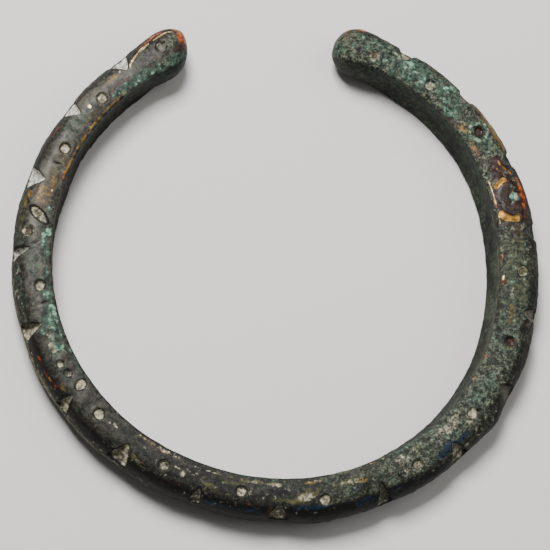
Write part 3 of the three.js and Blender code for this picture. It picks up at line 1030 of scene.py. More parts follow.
    Patch(Finish.CREAM, 302.5, -1.2, 3.0, 0.6, 0.38),
    Patch(Finish.BLUE, 309.4, 1.6, 4.2, 1.2, 1.0, -8),
    Patch(Finish.BLUE, 311.4, 0.9, 1.8, 0.5, 0.8),
    Patch(Finish.BLUE, 306.4, 1.9, 1.5, 0.7, 0.6),
    Patch(Finish.BLUE, 315.0, 1.8, 1.8, 1.2, 0.9),
    Patch(Finish.CREAM, 314.4, -0.5, 3.6, 1.5, 0.5),
    Patch(Finish.CREAM, 312.0, -1.0, 2.4, 0.8, 0.38),
    Patch(Finish.CREAM, 317.4, -0.9, 2.4, 0.8, 0.5),
    Patch(Finish.CREAM, 318.6, 0.6, 0.9, 1.4, 0.38),
    Patch(Finish.MINT, 314.6, 0.8, 1.6, 0.7, 0.48),
    Patch(Finish.GREEN, 312.6, 0.3, 2.4, 1.0, 0.6),
    Patch(Finish.GREEN, 316.6, 0.4, 1.8, 1.0, 0.6),
    Patch(Finish.GREEN, 324.0, 3.6, 4.0, 1.3, 0.75),
    Patch(Finish.GREEN, 321.6, 4.4, 3.0, 1.2, 0.75),
    Patch(Finish.MINT, 321.5, 4.8, 1.6, 0.6, 0.43),
    Patch(Finish.CREAM, 325.0, 3.0, 2.0, 0.8, 0.33),
    Patch(Finish.CREAM, 318.0, 3.2, 7.0, 1.6, 0.24),
    Patch(Finish.COPPER, 328.0, -1.9, 3.0, 0.22, 0.45),
    Patch(Finish.COPPER, 334.6, -1.9, 1.6, 0.22, 0.4),
    Patch(Finish.GREEN, 299.0, -1.9, 11.0, 0.45, 0.6),
    Patch(Finish.GREEN, 311.0, -1.9, 6.0, 0.4, 0.6),
    # Right side
    Patch(Finish.BROWN, 325.5, 2.3, 2.6, 0.6, 0.9),
    Patch(Finish.BROWN, 330.5, 2.5, 3.4, 0.6, 0.8),
    # Darker beside the chips on the outer shoulder, laid as painted shade
    Patch(Finish.SHADE, 331.0, 2.0, 3.6, 0.9, 0.7, -8),
    Patch(Finish.SHADE, 345.2, 1.9, 4.0, 0.9, 0.75, 8),
    Patch(Finish.SHADE, 325.0, 2.2, 2.6, 0.6, 0.5),
    Patch(Finish.SHADE, 5.0, 2.2, 2.6, 0.7, 0.5),
    Patch(Finish.SHADE, 21.5, 2.3, 2.6, 0.7, 0.4),
    Patch(Finish.BROWN, 335.6, 2.4, 2.4, 0.6, 0.8),
    Patch(Finish.BROWN, 345.2, 1.9, 4.6, 0.7, 0.95),
    Patch(Finish.SMOOTH, 344.6, 2.1, 4.0, 0.5, 0.5),
    Patch(Finish.BROWN, 331.5, 1.0, 2.2, 0.8, 0.5),
    Patch(Finish.SOOT, 337.0, 0.9, 1.6, 1.6, 0.5),
    Patch(Finish.SOOT, 333.0, -1.0, 3.0, 1.0, 0.4),
    # Dark on the inner face here, as painted shade where the lamp lights it
    Patch(Finish.SOOT, 338.0, -3.2, 12.0, 1.8, 0.85),
    Patch(Finish.GREEN, 326.0, 0.2, 7.0, 3.0, 0.5),
    Patch(Finish.GREEN, 345.0, 0.4, 14.0, 4.4, 0.42),
    Patch(Finish.OLIVE, 358.0, 0.4, 14.0, 5.0, 0.5),
    Patch(Finish.GREEN, 356.0, 0.0, 12.0, 4.0, 0.42),
    Patch(Finish.MINT, 2.0, 1.4, 4.0, 1.0, 0.3),
    Patch(Finish.MINT, 354.6, -0.4, 1.6, 1.0, 0.38),
    Patch(Finish.MINT, 323.5, -0.6, 1.6, 1.4, 0.38),
    Patch(Finish.OLIVE, 348.0, 0.3, 4.5, 1.4, 0.55),
    Patch(Finish.OCHRE, 347.0, -0.3, 2.4, 0.9, 0.45),
    Patch(Finish.CREAM, 352.0, -0.6, 2.6, 1.4, 0.3),
    Patch(Finish.OLIVE, 3.5, -0.3, 7.0, 2.0, 0.5),
    Patch(Finish.OLIVE, 345.0, -3.7, 20.0, 1.5, 1.0),
    Patch(Finish.OLIVE, 5.0, -3.5, 16.0, 1.3, 0.9),
    Patch(Finish.GREEN, 30.0, -3.4, 20.0, 1.8, 0.8),
    Patch(Finish.GREEN, 50.0, -3.2, 20.0, 2.0, 0.8),
    Patch(Finish.COPPER, 354.4, -1.75, 1.0, 0.3, 0.9),
    Patch(Finish.BRIGHT, 355.6, -1.7, 1.2, 0.22, 0.8),
    Patch(Finish.COPPER, 0.9, -1.8, 1.0, 0.26, 0.8),
    # The smooth brown place at the upper right
    Patch(Finish.BROWN, 14.6, 0.3, 11.0, 5.0, 1.0),
    Patch(Finish.BROWN, 22.0, 0.4, 5.0, 3.4, 0.85),
    Patch(Finish.COPPER, 12.9, 2.2, 1.3, 0.6, 1.0, -20),
    Patch(Finish.COPPER, 16.4, 2.45, 3.6, 0.9, 1.2, -4),
    Patch(Finish.COPPER, 19.0, 2.5, 1.4, 0.7, 0.9),
    Patch(Finish.COPPER, 10.6, 2.2, 1.0, 0.6, 0.5),
    Patch(Finish.OCHRE, 10.2, 0.0, 1.0, 2.2, 0.5),
    Patch(Finish.BRIGHT, 11.4, -1.6, 2.0, 0.22, 0.7),
    Patch(Finish.BRIGHT, 17.8, -1.65, 4.4, 0.22, 0.7),
    Patch(Finish.COPPER, 15.0, -1.7, 2.6, 0.3, 0.7),
    Patch(Finish.GOLD, 21.2, 1.7, 0.9, 0.3, 0.8, -25),
    Patch(Finish.GOLD, 22.6, 1.1, 0.6, 0.3, 0.8, -25),
    Patch(Finish.GOLD, 24.2, 0.7, 0.8, 0.35, 0.8),
    Patch(Finish.GOLD, 23.0, 0.1, 0.4, 0.3, 0.6),
    Patch(Finish.GOLD, 21.4, 0.7, 0.5, 0.3, 0.5),
    # Upper right arm
    Patch(Finish.OCHRE, 32.0, 2.75, 9.0, 1.5, 1.1),
    Patch(Finish.TAN, 34.5, 2.7, 5.5, 1.0, 0.85),
    Patch(Finish.OCHRE, 27.6, 2.3, 2.0, 0.8, 0.7),
    Patch(Finish.COPPER, 28.6, 2.8, 2.0, 0.6, 0.6),
    Patch(Finish.COPPER, 29.6, -1.5, 3.4, 0.4, 0.6),
    Patch(Finish.OCHRE, 35.8, -1.2, 2.0, 0.9, 0.95),
    Patch(Finish.OLIVE, 34.6, 1.2, 1.6, 1.4, 0.7),
    Patch(Finish.GOLD, 36.3, -0.8, 0.5, 0.4, 0.8),
    Patch(Finish.GREEN, 29.5, 0.2, 3.0, 3.0, 0.7),
    Patch(Finish.OCHRE, 30.2, -1.3, 2.4, 0.8, 0.6),
    Patch(Finish.BROWN, 38.4, -1.6, 4.0, 0.8, 0.7),
    Patch(Finish.SOOT, 38.8, 1.2, 1.2, 0.9, 0.9),
    Patch(Finish.SOOT, 40.6, 0.2, 1.4, 1.4, 0.7),
    Patch(Finish.SOOT, 36.8, 1.9, 1.2, 0.6, 0.6),
    Patch(Finish.GREEN, 44.5, 0.2, 8.0, 4.6, 0.85),
    Patch(Finish.GREEN, 53.5, 0.0, 9.0, 4.6, 0.85),
    Patch(Finish.GREEN, 62.5, 0.2, 9.0, 4.4, 0.6),
    Patch(Finish.MINT, 44.2, 1.9, 2.0, 1.3, 0.54),
    Patch(Finish.MINT, 45.8, 0.9, 1.8, 1.2, 0.5),
    Patch(Finish.MINT, 41.0, -1.3, 2.4, 0.7, 0.54),
    Patch(Finish.MINT, 44.6, -1.5, 2.2, 0.6, 0.44),
    Patch(Finish.MINT, 44.4, -0.5, 2.2, 0.9, 0.43),
    Patch(Finish.MINT, 48.2, 2.0, 2.4, 0.9, 0.38),
    Patch(Finish.MINT, 51.4, -0.2, 1.6, 1.4, 0.48),
    Patch(Finish.MINT, 54.4, -1.2, 3.4, 0.7, 0.46),
    Patch(Finish.MINT, 55.4, 0.3, 2.4, 1.4, 0.43),
    Patch(Finish.MINT, 62.6, 1.9, 1.4, 0.7, 0.46),
    Patch(Finish.MINT, 66.0, 1.7, 2.0, 0.8, 0.38),
    Patch(Finish.MINT, 60.6, -0.6, 2.4, 1.2, 0.38),
    Patch(Finish.CREAM, 60.0, 0.8, 2.4, 1.4, 0.38),
    Patch(Finish.CREAM, 47.2, -0.6, 1.8, 0.6, 0.38),
    Patch(Finish.SOOT, 52.6, 1.5, 1.8, 1.0, 0.5),
    Patch(Finish.SOOT, 57.0, -1.6, 3.0, 0.7, 0.6),
    # Right terminal
    Patch(Finish.SMOOTH, 71.8, 1.2, 3.0, 4.0, 1.0),
    Patch(Finish.BROWN, 72.4, 2.0, 1.6, 2.4, 0.5),
    Patch(Finish.TAN, 71.6, 1.1, 2.4, 3.0, 0.7),
    Patch(Finish.COPPER, 70.6, 3.0, 2.6, 0.9, 0.95),
    Patch(Finish.COPPER, 73.4, 2.6, 1.4, 1.0, 0.85, -50),
    Patch(Finish.OCHRE, 72.2, 1.4, 0.9, 2.6, 0.4),
    Patch(Finish.GREEN, 73.6, -0.8, 1.8, 2.0, 0.7),
)


@dataclass(frozen=True)
class Corrosion:
    """How strongly broad corrosion, painted shade and glints lie on the band's faces, from zero to one.

    Soot and shade has its strength on the inner face, what the left adds there, how patchy it
    is, and its strengths over the bottom and on its outer shoulder: grime and tarnish, with
    painted shade there as well. Its wander is in millimetres.
    """

    granular: float = 0.85
    grains: float = 0.55
    grain_clouds: Ripple = Ripple(2.6, 43, 0.3)
    stray_grains_and_glints: float = 0.2
    inner_soot_and_shade: float = 0.56
    left_inner_soot_and_shade: float = 0.14
    patchy_soot_and_shade: float = 0.3
    bottom_soot_and_shade: float = 0.45
    shoulder_soot_and_shade: float = 0.6
    soot_and_shade_wander: float = 0.5
    olive_inside: float = 0.26
    green_inside: float = 0.42
    specks: float = 0.1
    fewer_inside: float = 0.45


@dataclass(frozen=True)
class ShadeFilm:
    """How deep the painted shade is on each part of the band, from zero to one.

    The shade is painted, with some dark tarnish in it. A pair is the depth round the whole
    ring, and what the bottom or, inside, the left adds. Rim with less shade is the share of it
    that is taken off the rim, and most is the deepest that it gets.
    """

    shoulder: tuple[float, float] = (0.5, 0.28)
    side: tuple[float, float] = (0.2, 0.12)
    inside: tuple[float, float] = (0.16, 0.14)
    groove: float = 0.5
    bottom: float = 0.37
    arms: float = 0.2
    patches: float = 0.14
    streaks: Ripple = Ripple(1.1, 45)
    inner_streaks: float = 0.62
    outer_streaks: float = 0.25
    rim_with_less_shade: float = 0.8
    most: float = 0.97


@dataclass(frozen=True)
class Crescent:
    """A bared crescent at the blister's foot: where its middle is, half its arc and its width."""

    middle: float
    spread: float
    thick: float


CRESCENTS = (
    Crescent(-150.0, 33.0, 0.48),
    Crescent(-28.0, 22.0, 0.42),
)


@dataclass
class Eye:
    """The round brown blister at the upper right, with its two bared crescents.

    Reach is the pair of girths that it stays between, and foot is how far outside it the middle
    line of the crescents lies. Arc fade and band fade are how far before and past its edge a
    crescent starts and stops fading, in degrees along it and in millimetres across it. Thinnest
    is its width at its ends, as a share of the whole width.
    """

    surface: Surface
    paint: Paint
    angle: float = 15.1
    girth: float = 1.1
    radius: float = 2.5
    rise: float = 0.11
    slope: float = 0.25
    edge: Ripple = Ripple(1.1, 51, 0.14)
    reach: tuple[float, float] = (-2.0, 4.5)
    foot: float = 0.36
    arc_fade: tuple[float, float] = (8.0, 6.0)
    thinnest: float = 0.55
    band_fade: tuple[float, float] = (0.12, 0.06)
    foot_line: float = 0.1
    foot_shadow: float = 0.5

    def build(self) -> None:
        """Raise the blister, and bare each crescent between two edges round its foot."""
        surface = self.surface
        along = surface.along(self.angle)
        out = surface.girth - self.girth
        away = np.hypot(along, out) + self.edge.at(surface.points)
        turn = np.degrees(np.arctan2(out, along))
        low, high = self.reach
        upper = (surface.girth > low) & (surface.girth < high)
        blister = (1 - smooth_step(self.radius - self.slope, self.radius, away)) * upper
        surface.raise_by(self.rise * blister)
        self.paint.cover(Finish.BROWN, blister)
        before, after = self.arc_fade
        within, past = self.band_fade
        for crescent in CRESCENTS:
            beside = np.abs(turn_between(turn, crescent.middle))
            arc = 1 - smooth_step(crescent.spread - before, crescent.spread + after, beside)
            slim = crescent.thick * (self.thinnest + (1 - self.thinnest) * arc)
            off = np.abs(away - self.radius - self.foot)
            bared = arc * (1 - smooth_step(slim - within, slim + past, off)) * upper
            self.paint.clear(bared)
            self.paint.cover(Finish.GOLD, bared)
        # Painted shadow along the blister's foot, on the side towards the inner edge
        foot_line = bell(away, self.radius, self.foot_line)
        self.paint.cover(Finish.HOLLOW, self.foot_shadow * foot_line * upper * (out < 0))


@dataclass
class Halo:
    """Pale and green corrosion scattered round one pit.

    Broken is how the mint comes and goes, and the cream is strongest in its gaps.
    """

    surface: Surface
    paint: Paint
    angle: float = 33.0
    girth: float = 0.5
    radius: float = 1.2
    spread: float = 0.32
    edge: Ripple = Ripple(0.8, 52, 0.35)
    broken: Ripple = Ripple(0.9, 53, 0.4)
    mint: float = 0.85
    cream: float = 0.6
    cream_gaps: float = 1.2
    green: float = 0.75
    green_fade: tuple[float, float] = (1.6, 2.8)

    def build(self) -> None:
        """Lay mint and cream by turns in a ring round the pit, and green under them."""
        away = np.hypot(self.surface.along(self.angle), self.surface.girth - self.girth)
        away = away + self.edge.at(self.surface.points)
        broken = 1 - self.broken.swing + self.broken.at(self.surface.points)
        ring = bell(away, self.radius, self.spread)
        self.paint.cover(Finish.MINT, self.mint * broken * ring)
        self.paint.cover(Finish.CREAM, self.cream * (self.cream_gaps - broken) * ring)
        self.paint.cover(Finish.GREEN, self.green * (1 - smooth_step(*self.green_fade, away)))


@dataclass
class Patina:
    """The corroded skin and painted shade: which finish lies where, how far it stands out or sinks in.

    An edge is the pair of girths between which a part of the band sets in, but the right edge
    is a pair of cosines of the turn from the right angle. Groove is the girth of the painted shadow
    in the hollow under the inner edge, and how far it spreads. The hills say how fully each stretch
    of the ring has what is named for it. A patch's edge wanders by two sizes of noise, so that it
    doesn't show its oval. Grain height is the height everywhere, and what granular skin adds.
    """

    surface: Surface
    paint: Paint
    corrosion: Corrosion = Corrosion()
    shade_film: ShadeFilm = ShadeFilm()
    inner_edge: tuple[float, float] = (-2.6, -2.1)
    soot_and_shade_edge: tuple[float, float] = (1.2, 2.6)
    shoulder_edge: tuple[float, float] = (1.5, 2.3)
    outer_edge: tuple[float, float] = (2.6, 3.6)
    side_edge: tuple[float, float] = (2.8, 4.2)
    rim_edge: tuple[float, float] = (3.9, 4.5)
    groove: tuple[float, float] = (-2.6, 0.3)
    right_angle: float = 5.0
    right_edge: tuple[float, float] = (-0.45, 0.3)
    bottom: Swelling = Swelling(258, 1.0, 46)
    left: Swelling = Swelling(150, 1.0, 45)
    right_arm: Swelling = Swelling(357, 1.0, 34)
    left_end: Swelling = Swelling(116, 1.0, 12)
    side_with_less_shade: Swelling = Swelling(208, 1.0, 30)
    patchiness: Ripple = Ripple(3.0, 44)
    wander: tuple[Ripple, ...] = (Ripple(1.3, 41, 0.4), Ripple(0.5, 42, 0.25))
    patch_fade: tuple[float, float] = (0.5, 1.25)
    swells: tuple[Ripple, ...] = (Ripple(5.0, 31, 0.09, 2), Ripple(1.5, 34, 0.045, 2))
    grain: Ripple = Ripple(0.7, 37, 1.0, 2)
    grain_height: tuple[float, float] = (0.012, 0.075)
    crust: Ripple = Ripple(0.4, 39, 0.5)
    crust_height: float = 0.05
    inner: np.ndarray = field(init=False)
    outer: np.ndarray = field(init=False)
    right: np.ndarray = field(init=False)
    patchy: np.ndarray = field(init=False)

    def __post_init__(self) -> None:
        """Work out where the inner face, the outer side and the right half are."""
        surface = self.surface
        self.inner = 1 - smooth_step(*self.inner_edge, surface.girth)
        self.outer = smooth_step(*self.outer_edge, surface.girth)
        turned = np.cos(np.radians(surface.angle - self.right_angle))[:, None]
        self.right = smooth_step(*self.right_edge, turned) * self.corrosion.granular
        self.patchy = self.patchiness.at(surface.points)

    def full(self, hill: Swelling) -> np.ndarray:
        """Give how fully each row of points has what a hill stands for."""
        return hill.height(self.surface.angle)[:, None]

    def corrode(self) -> None:
        """Lay the broad corrosion, with painted shade and glints.

        The inner face, the outer side and the right half are granular, with pale grain that also
        stands for painted glints. Soot with painted shade lies on the inner face and over the bottom,
        with some green inside and a few pale specks on the rest.
        """
        corrosion = self.corrosion
        inner, outer, right = self.inner, self.outer, self.right
        bottom = self.full(self.bottom)
        granular = np.maximum(np.maximum(inner, outer) * corrosion.granular, right)
        grains = corrosion.grains + corrosion.grain_clouds.at(self.surface.points)
        self.paint.cover(Finish.GRANULAR, granular)
        self.paint.cover(Finish.GRAINS, granular * grains + corrosion.stray_grains_and_glints)
        wandering = self.surface.girth + corrosion.soot_and_shade_wander * self.patchy
        shoulder = smooth_step(*self.soot_and_shade_edge, wandering)
        self.paint.cover(Finish.SOOT, corrosion.shoulder_soot_and_shade * bottom * shoulder)
        inside = corrosion.inner_soot_and_shade + corrosion.left_inner_soot_and_shade * self.full(self.left)
        inside = inner * (inside + corrosion.patchy_soot_and_shade * self.patchy)
        self.paint.cover(Finish.SOOT, inside + corrosion.bottom_soot_and_shade * bottom)
        self.paint.cover(Finish.OLIVE, corrosion.olive_inside * inner)
        self.paint.cover(Finish.GREEN, corrosion.green_inside * inner * right)
        specks = np.maximum(right, bottom) * (1 - outer) * (1 - corrosion.fewer_inside * inner)
        self.paint.cover(Finish.CREAM, corrosion.specks * specks)
        self.paint.cover(Finish.MINT, corrosion.specks * right * (1 - inner))

    def darken(self) -> None:
        """Lay the painted shade, with some dark tarnish in it.

        It grows with the girth, is deepest at the bottom of the ring, is painted shadow in the
        groove under the inner edge, is a little deeper on the right arm and at the left end, and is
        thinner on the left side's rim.
        """
        shade_film = self.shade_film
        girth = self.surface.girth
        bottom = self.full(self.bottom)
        left = self.full(self.left)
        arms = self.full(self.right_arm) + self.full(self.left_end)
        shoulder = smooth_step(*self.shoulder_edge, girth) * (shade_film.shoulder[0] + shade_film.shoulder[1] * bottom)
        side = smooth_step(*self.side_edge, girth) * (shade_film.side[0] + shade_film.side[1] * bottom)
        inside = self.inner * (shade_film.inside[0] + shade_film.inside[1] * left)
        groove = shade_film.groove * bell(girth, *self.groove) * (1 - left)
        streaks = shade_film.inner_streaks * self.inner + shade_film.outer_streaks * self.outer
        streaks = streaks * shade_film.streaks.at(self.surface.points)
        depth = shoulder + side + inside + groove + shade_film.bottom * bottom + shade_film.arms * arms
        # Less painted shade on the left side's outer rim
        worn = shade_film.rim_with_less_shade * smooth_step(*self.rim_edge, girth) * self.full(self.side_with_less_shade)
        depth = (depth + shade_film.patches * self.patchy + streaks) * (1 - worn)
        self.paint.cover(Finish.SHADE, np.clip(depth, 0, shade_film.most))

    def patches(self, patches: tuple[Patch, ...]) -> None:
        """Lay the patches: full inside about half the oval, fading out past its edge.

        Args:
            patches: all the patches, in any order.
        """
        wander = sum(ripple.at(self.surface.points) for ripple in self.wander)
        for patch in patches:
            away = self.surface.distance(patch) + wander
            self.paint.cover(patch.finish, patch.strength * (1 - smooth_step(*self.patch_fade, away)))

    def relief(self) -> None:
        """Give the skin its unevenness: low swells, grain where it is granular, raised crusts."""
        points = self.surface.points
        swell = sum(ripple.at(points) for ripple in self.swells)
        smooth, rough = self.grain_height
        grain = self.grain.at(points) * (smooth + rough * self.paint[Finish.GRANULAR])
        crust = np.maximum(self.paint[Finish.MINT], self.paint[Finish.CREAM]) * self.crust_height
        crust = crust * (1 - self.crust.swing + self.crust.at(points))
        self.surface.raise_by(swell + grain + crust)


class Field(enum.Enum):
    """The random fields that break up the finishes.

    Each has the size of its largest spots in millimetres, its detail and its channel.
    """

    BROAD_A = (1.8, 4.0, "Red")
    BROAD_B = (1.8, 4.0, "Green")
    MIDDLE_A = (0.6, 3.0, "Red")
    MIDDLE_B = (0.6, 3.0, "Green")
    MIDDLE_C = (0.6, 3.0, "Blue")
    GRIT_A = (0.62, 4.0, "Red")
    GRIT_B = (0.62, 4.0, "Green")
    GRIT_C = (0.62, 4.0, "Blue")
    FINE_A = (0.26, 2.0, "Red")
    FINE_B = (0.26, 2.0, "Green")
    FINE_C = (0.26, 2.0, "Blue")


class Mix(enum.Enum):
    """What a mix node blends: the node's own name for it, its two inputs and its output."""

    COLOUR = ("RGBA", 6, 7, 2)
    NUMBER = ("FLOAT", 2, 3, 0)


@dataclass(frozen=True)
class Pigment:
    """How one finish looks: its two colours, its gloss, and the fields that mottle and fray it.

    Cover scales what is painted, so that a low one leaves only specks. Softness is the width of
    its edges, and density how much of what is below it hides. A finish that isn't ragged at all
    lies as it was painted, evenly, as the painted shade does.
    """

    finish: Finish
    dark: str
    light: str
    metallic: float
    roughness: float
    mottle: Field
    fray: Field
    ragged: float
    softness: float = 0.12
    density: float = 1.0
    cover: float = 1.0


PIGMENTS = (
    # Old compact patina, worn smooth and waxed: grey-brown, with a soft shine
    Pigment(Finish.SMOOTH, "#1f1e19", "#4b4940", 0.1, 0.45, Field.BROAD_A, Field.MIDDLE_A, 1.0, 0.25),
    Pigment(
        Finish.SMOOTH, "#36342d", "#67645a", 0.1, 0.42, Field.FINE_C, Field.GRIT_C, 2.2, 0.3, 0.7, 0.3,
    ),
    # The same patina where the bronze shines through it, tan
    Pigment(Finish.TAN, "#2a241a", "#534732", 0.2, 0.42, Field.GRIT_A, Field.BROAD_B, 1.4, 0.35, 0.8),
    # Pitted corrosion: dark grey-green, dull
    Pigment(Finish.GRANULAR, "#070806", "#2b3028", 0.05, 0.7, Field.GRIT_B, Field.BROAD_A, 1.4, 0.3),
    # Paler grain in it, which also stands for painted glints on the crystals
    Pigment(
        Finish.GRAINS, "#272b23", "#80856f", 0.0, 0.7, Field.FINE_A, Field.GRIT_A, 2.2, 0.4, 0.9, 0.62,
    ),
    # Compact red-brown copper oxide under the patina
    Pigment(Finish.BROWN, "#1a100e", "#3a2822", 0.1, 0.36, Field.MIDDLE_A, Field.MIDDLE_C, 0.8, 0.2),
    # Near-black grime and tarnish, and painted shade on the inner face and the bottom's sides
    Pigment(Finish.SOOT, "#030303", "#100f0d", 0.05, 0.6, Field.MIDDLE_B, Field.GRIT_A, 1.4, 0.35, 0.9),
    # Yellow-green corrosion
    Pigment(Finish.OLIVE, "#1f1f11", "#6a6841", 0.0, 0.65, Field.GRIT_C, Field.GRIT_A, 1.8, 0.35, 0.75),
    # Dull green corrosion
    Pigment(Finish.GREEN, "#15201b", "#3b5245", 0.0, 0.75, Field.GRIT_A, Field.GRIT_B, 1.8, 0.4, 0.75),
    # Pale green copper carbonate
    Pigment(Finish.MINT, "#20473a", "#8bb097", 0.0, 0.8, Field.GRIT_B, Field.GRIT_C, 2.6, 0.25, 0.95),
    # Painted shade with some dark tarnish, deeper towards the sides and the bottom
    Pigment(Finish.SHADE, "#050504", "#050504", 0.0, 0.65, Field.MIDDLE_A, Field.MIDDLE_A, 0.0),
    # Blue copper carbonate, thin and dark
    Pigment(Finish.BLUE, "#04080d", "#0e2439", 0.0, 0.55, Field.GRIT_A, Field.GRIT_B, 1.8, 0.3, 0.85),
    # Dull yellow tarnish on nearly bare bronze
    Pigment(Finish.OCHRE, "#2c200c", "#735a2c", 0.3, 0.45, Field.GRIT_B, Field.GRIT_A, 1.8, 0.3, 0.9),
    # Chalky pale crust
    Pigment(Finish.CREAM, "#585240", "#b9b198", 0.0, 0.7, Field.GRIT_A, Field.GRIT_B, 2.2, 0.25),
    # The whitest of it, smooth in the largest chips, and whiter still as painted light on their facets
    Pigment(Finish.CHALK, "#8a877b", "#dad7cb", 0.0, 0.6, Field.MIDDLE_A, Field.GRIT_C, 1.2, 0.2),
    # Copper-red metal and oxide, bared by handling
    Pigment(Finish.COPPER, "#42180a", "#a8501f", 0.3, 0.42, Field.GRIT_A, Field.GRIT_B, 1.6, 0.25),
    # Bronze worn bright
    Pigment(Finish.GOLD, "#664517", "#a67c3a", 0.5, 0.4, Field.GRIT_B, Field.GRIT_A, 1.2, 0.15),
    # Bronze bared on the sharpest edges, pale, and a painted highlight along the left end's shoulder
    Pigment(Finish.BRIGHT, "#8f7040", "#e8d09a", 0.4, 0.4, Field.GRIT_A, Field.GRIT_C, 1.8, 0.2),
    # Painted shade, near black, in cuts and round pits
    Pigment(Finish.HOLLOW, "#030302", "#0d0c09", 0.0, 0.8, Field.MIDDLE_B, Field.GRIT_B, 0.8, 0.25),
)


@dataclass
class OldBronze:
    """Cast tin bronze after long burial: dark tarnished metal under layers of corrosion.

    The eye gets a dark skin with a soft uneven shine, dull grainy places, and specks of colour.
    A range is the pair of values between which something sets in.
    """

    skin_dark: str = "#12110e"
    skin_light: str = "#3a3831"
    skin_metallic: float = 0.12
    skin_roughness: float = 0.48
    specular: float = 0.2
    noise_roughness: float = 0.66
    mottle_range: tuple[float, float] = (0.36, 0.66)
    painted_range: tuple[float, float] = (0.02, 0.12)
    dull_range: tuple[float, float] = (0.25, 0.8)
    grain_height: float = 0.00007
    tree: bpy.types.NodeTree = field(init=False)
    fields: dict[Field, bpy.types.NodeSocket] = field(init=False, default_factory=dict)

    def node(self, kind: str, links: dict, **settings: object) -> bpy.types.Node:
        """Add one node.

        Args:
            kind: the node's type.
            links: what goes into each input, a socket or a plain value, by name or number.
            settings: the node's own properties.

        Returns:
            The new node.
        """
        node = self.tree.nodes.new(kind)
        for name, value in settings.items():
            setattr(node, name, value)
        for name, value in links.items():
            socket = node.inputs[name]
            if isinstance(value, bpy.types.NodeSocket):
                self.tree.links.new(value, socket)
            else:
                socket.default_value = value
        return node

    def make_fields(self) -> None:
        """Make the random fields, one noise for each size, from its three channels."""
        place = self.node("ShaderNodeTexCoord", {}).outputs["Object"]
        split = {}
        for member in Field:
            size, detail, channel = member.value
            if size not in split:
                noise = self.node("ShaderNodeTexNoise", {
                    "Vector": place, "Scale": 1 / (size * MM), "Detail": detail,
                    "Roughness": self.noise_roughness,
                })
                split[size] = self.node("ShaderNodeSeparateColor", {"Color": noise.outputs["Color"]})
            self.fields[member] = split[size].outputs[channel]

    def stretch(
        self, value: bpy.types.NodeSocket, low: float, high: float, most: float = 1.0,
    ) -> bpy.types.NodeSocket:
        """Spread a value between low and high over zero to most, smoothly.

        Args:
            value: the value.
            low: what becomes zero.
            high: what becomes most.
            most: the highest result.

        Returns:
            The spread value.
        """
        links = {"Value": value, "From Min": low, "From Max": high, "To Max": most}
        node = self.node("ShaderNodeMapRange", links, interpolation_type="SMOOTHSTEP")
        return node.outputs["Result"]

    def blend(self, amount: object, first: object, second: object, mix: Mix) -> bpy.types.NodeSocket:
        """Mix two colours or two numbers.

        Args:
            amount: the share of the second, a socket or a number.
            first: what is below, a socket or a plain value.
            second: what is laid on, a socket or a plain value.
            mix: whether they are colours or numbers.

        Returns:
            The mixture.
        """
        kind, first_input, second_input, output = mix.value
        links = {0: amount, first_input: first, second_input: second}
        return self.node("ShaderNodeMix", links, data_type=kind).outputs[output]

    def material(self) -> bpy.types.Material:
        """Build the material: the bare skin, then each finish over it in turn.

        Returns:
            The material, with one attribute read for each finish.
        """
        material = bpy.data.materials.new("buried_cast_bronze")
        material.use_nodes = True
        self.tree = material.node_tree
        self.tree.nodes.clear()
        self.make_fields()
        tone = self.stretch(self.fields[Field.MIDDLE_A], *self.mottle_range)
        colour = self.blend(tone, linear(self.skin_dark), linear(self.skin_light), Mix.COLOUR)
        metallic, roughness = self.skin_metallic, self.skin_roughness
        for pigment in PIGMENTS:
            amount = self.amount(pigment)
            tone = self.stretch(self.fields[pigment.mottle], *self.mottle_range)
            own = self.blend(tone, linear(pigment.dark), linear(pigment.light), Mix.COLOUR)
            colour = self.blend(amount, colour, own, Mix.COLOUR)
            metallic = self.blend(amount, metallic, pigment.metallic, Mix.NUMBER)
            roughness = self.blend(amount, roughness, pigment.roughness, Mix.NUMBER)
        shader = self.node("ShaderNodeBsdfPrincipled", {
            "Base Color": colour, "Metallic": metallic, "Roughness": roughness,
            "Normal": self.grain(roughness), "Specular IOR Level": self.specular,
        })
        self.node("ShaderNodeOutputMaterial", {"Surface": shader.outputs["BSDF"]})
        return material

    def amount(self, pigment: Pigment) -> bpy.types.NodeSocket:
        """Fray a painted finish: its strength plus noise, cut softly at half above its mean noise.

        Where nothing is painted, nothing shows, however high the noise is.

        Args:
            pigment: how the finish looks.

        Returns:
            How much of the finish shows, from zero to its density.
        """
        attribute = self.node("ShaderNodeAttribute", {}, attribute_name=pigment.finish.value)
        painted = attribute.outputs["Fac"]
        if pigment.ragged == 0:
            return painted
        scaled = self.node("ShaderNodeMath", {0: painted, 1: pigment.cover}, operation="MULTIPLY")
        frayed = self.node("ShaderNodeMath", {
            0: self.fields[pigment.fray], 1: pigment.ragged, 2: scaled.outputs[0],
        }, operation="MULTIPLY_ADD")
        middle = 0.5 + 0.5 * pigment.ragged
        softness = pigment.softness
        cut = self.stretch(frayed.outputs[0], middle - softness, middle + softness)
        gate = self.stretch(painted, *self.painted_range, pigment.density)
        return self.node("ShaderNodeMath", {0: cut, 1: gate}, operation="MULTIPLY").outputs[0]

    def grain(self, roughness: bpy.types.NodeSocket) -> bpy.types.NodeSocket:
        """Roughen the dull finishes: fine noise, higher where the surface is rougher.

        Args:
            roughness: the whole material's roughness.

        Returns:
            The bent normals.
        """
        height = self.node("ShaderNodeMath", {
            0: self.fields[Field.FINE_B], 1: self.stretch(roughness, *self.dull_range),
        }, operation="MULTIPLY")
        bump = self.node("ShaderNodeBump", {
            "Strength": 1.0, "Distance": self.grain_height, "Height": height.outputs[0],
        })
        return bump.outputs["Normal"]


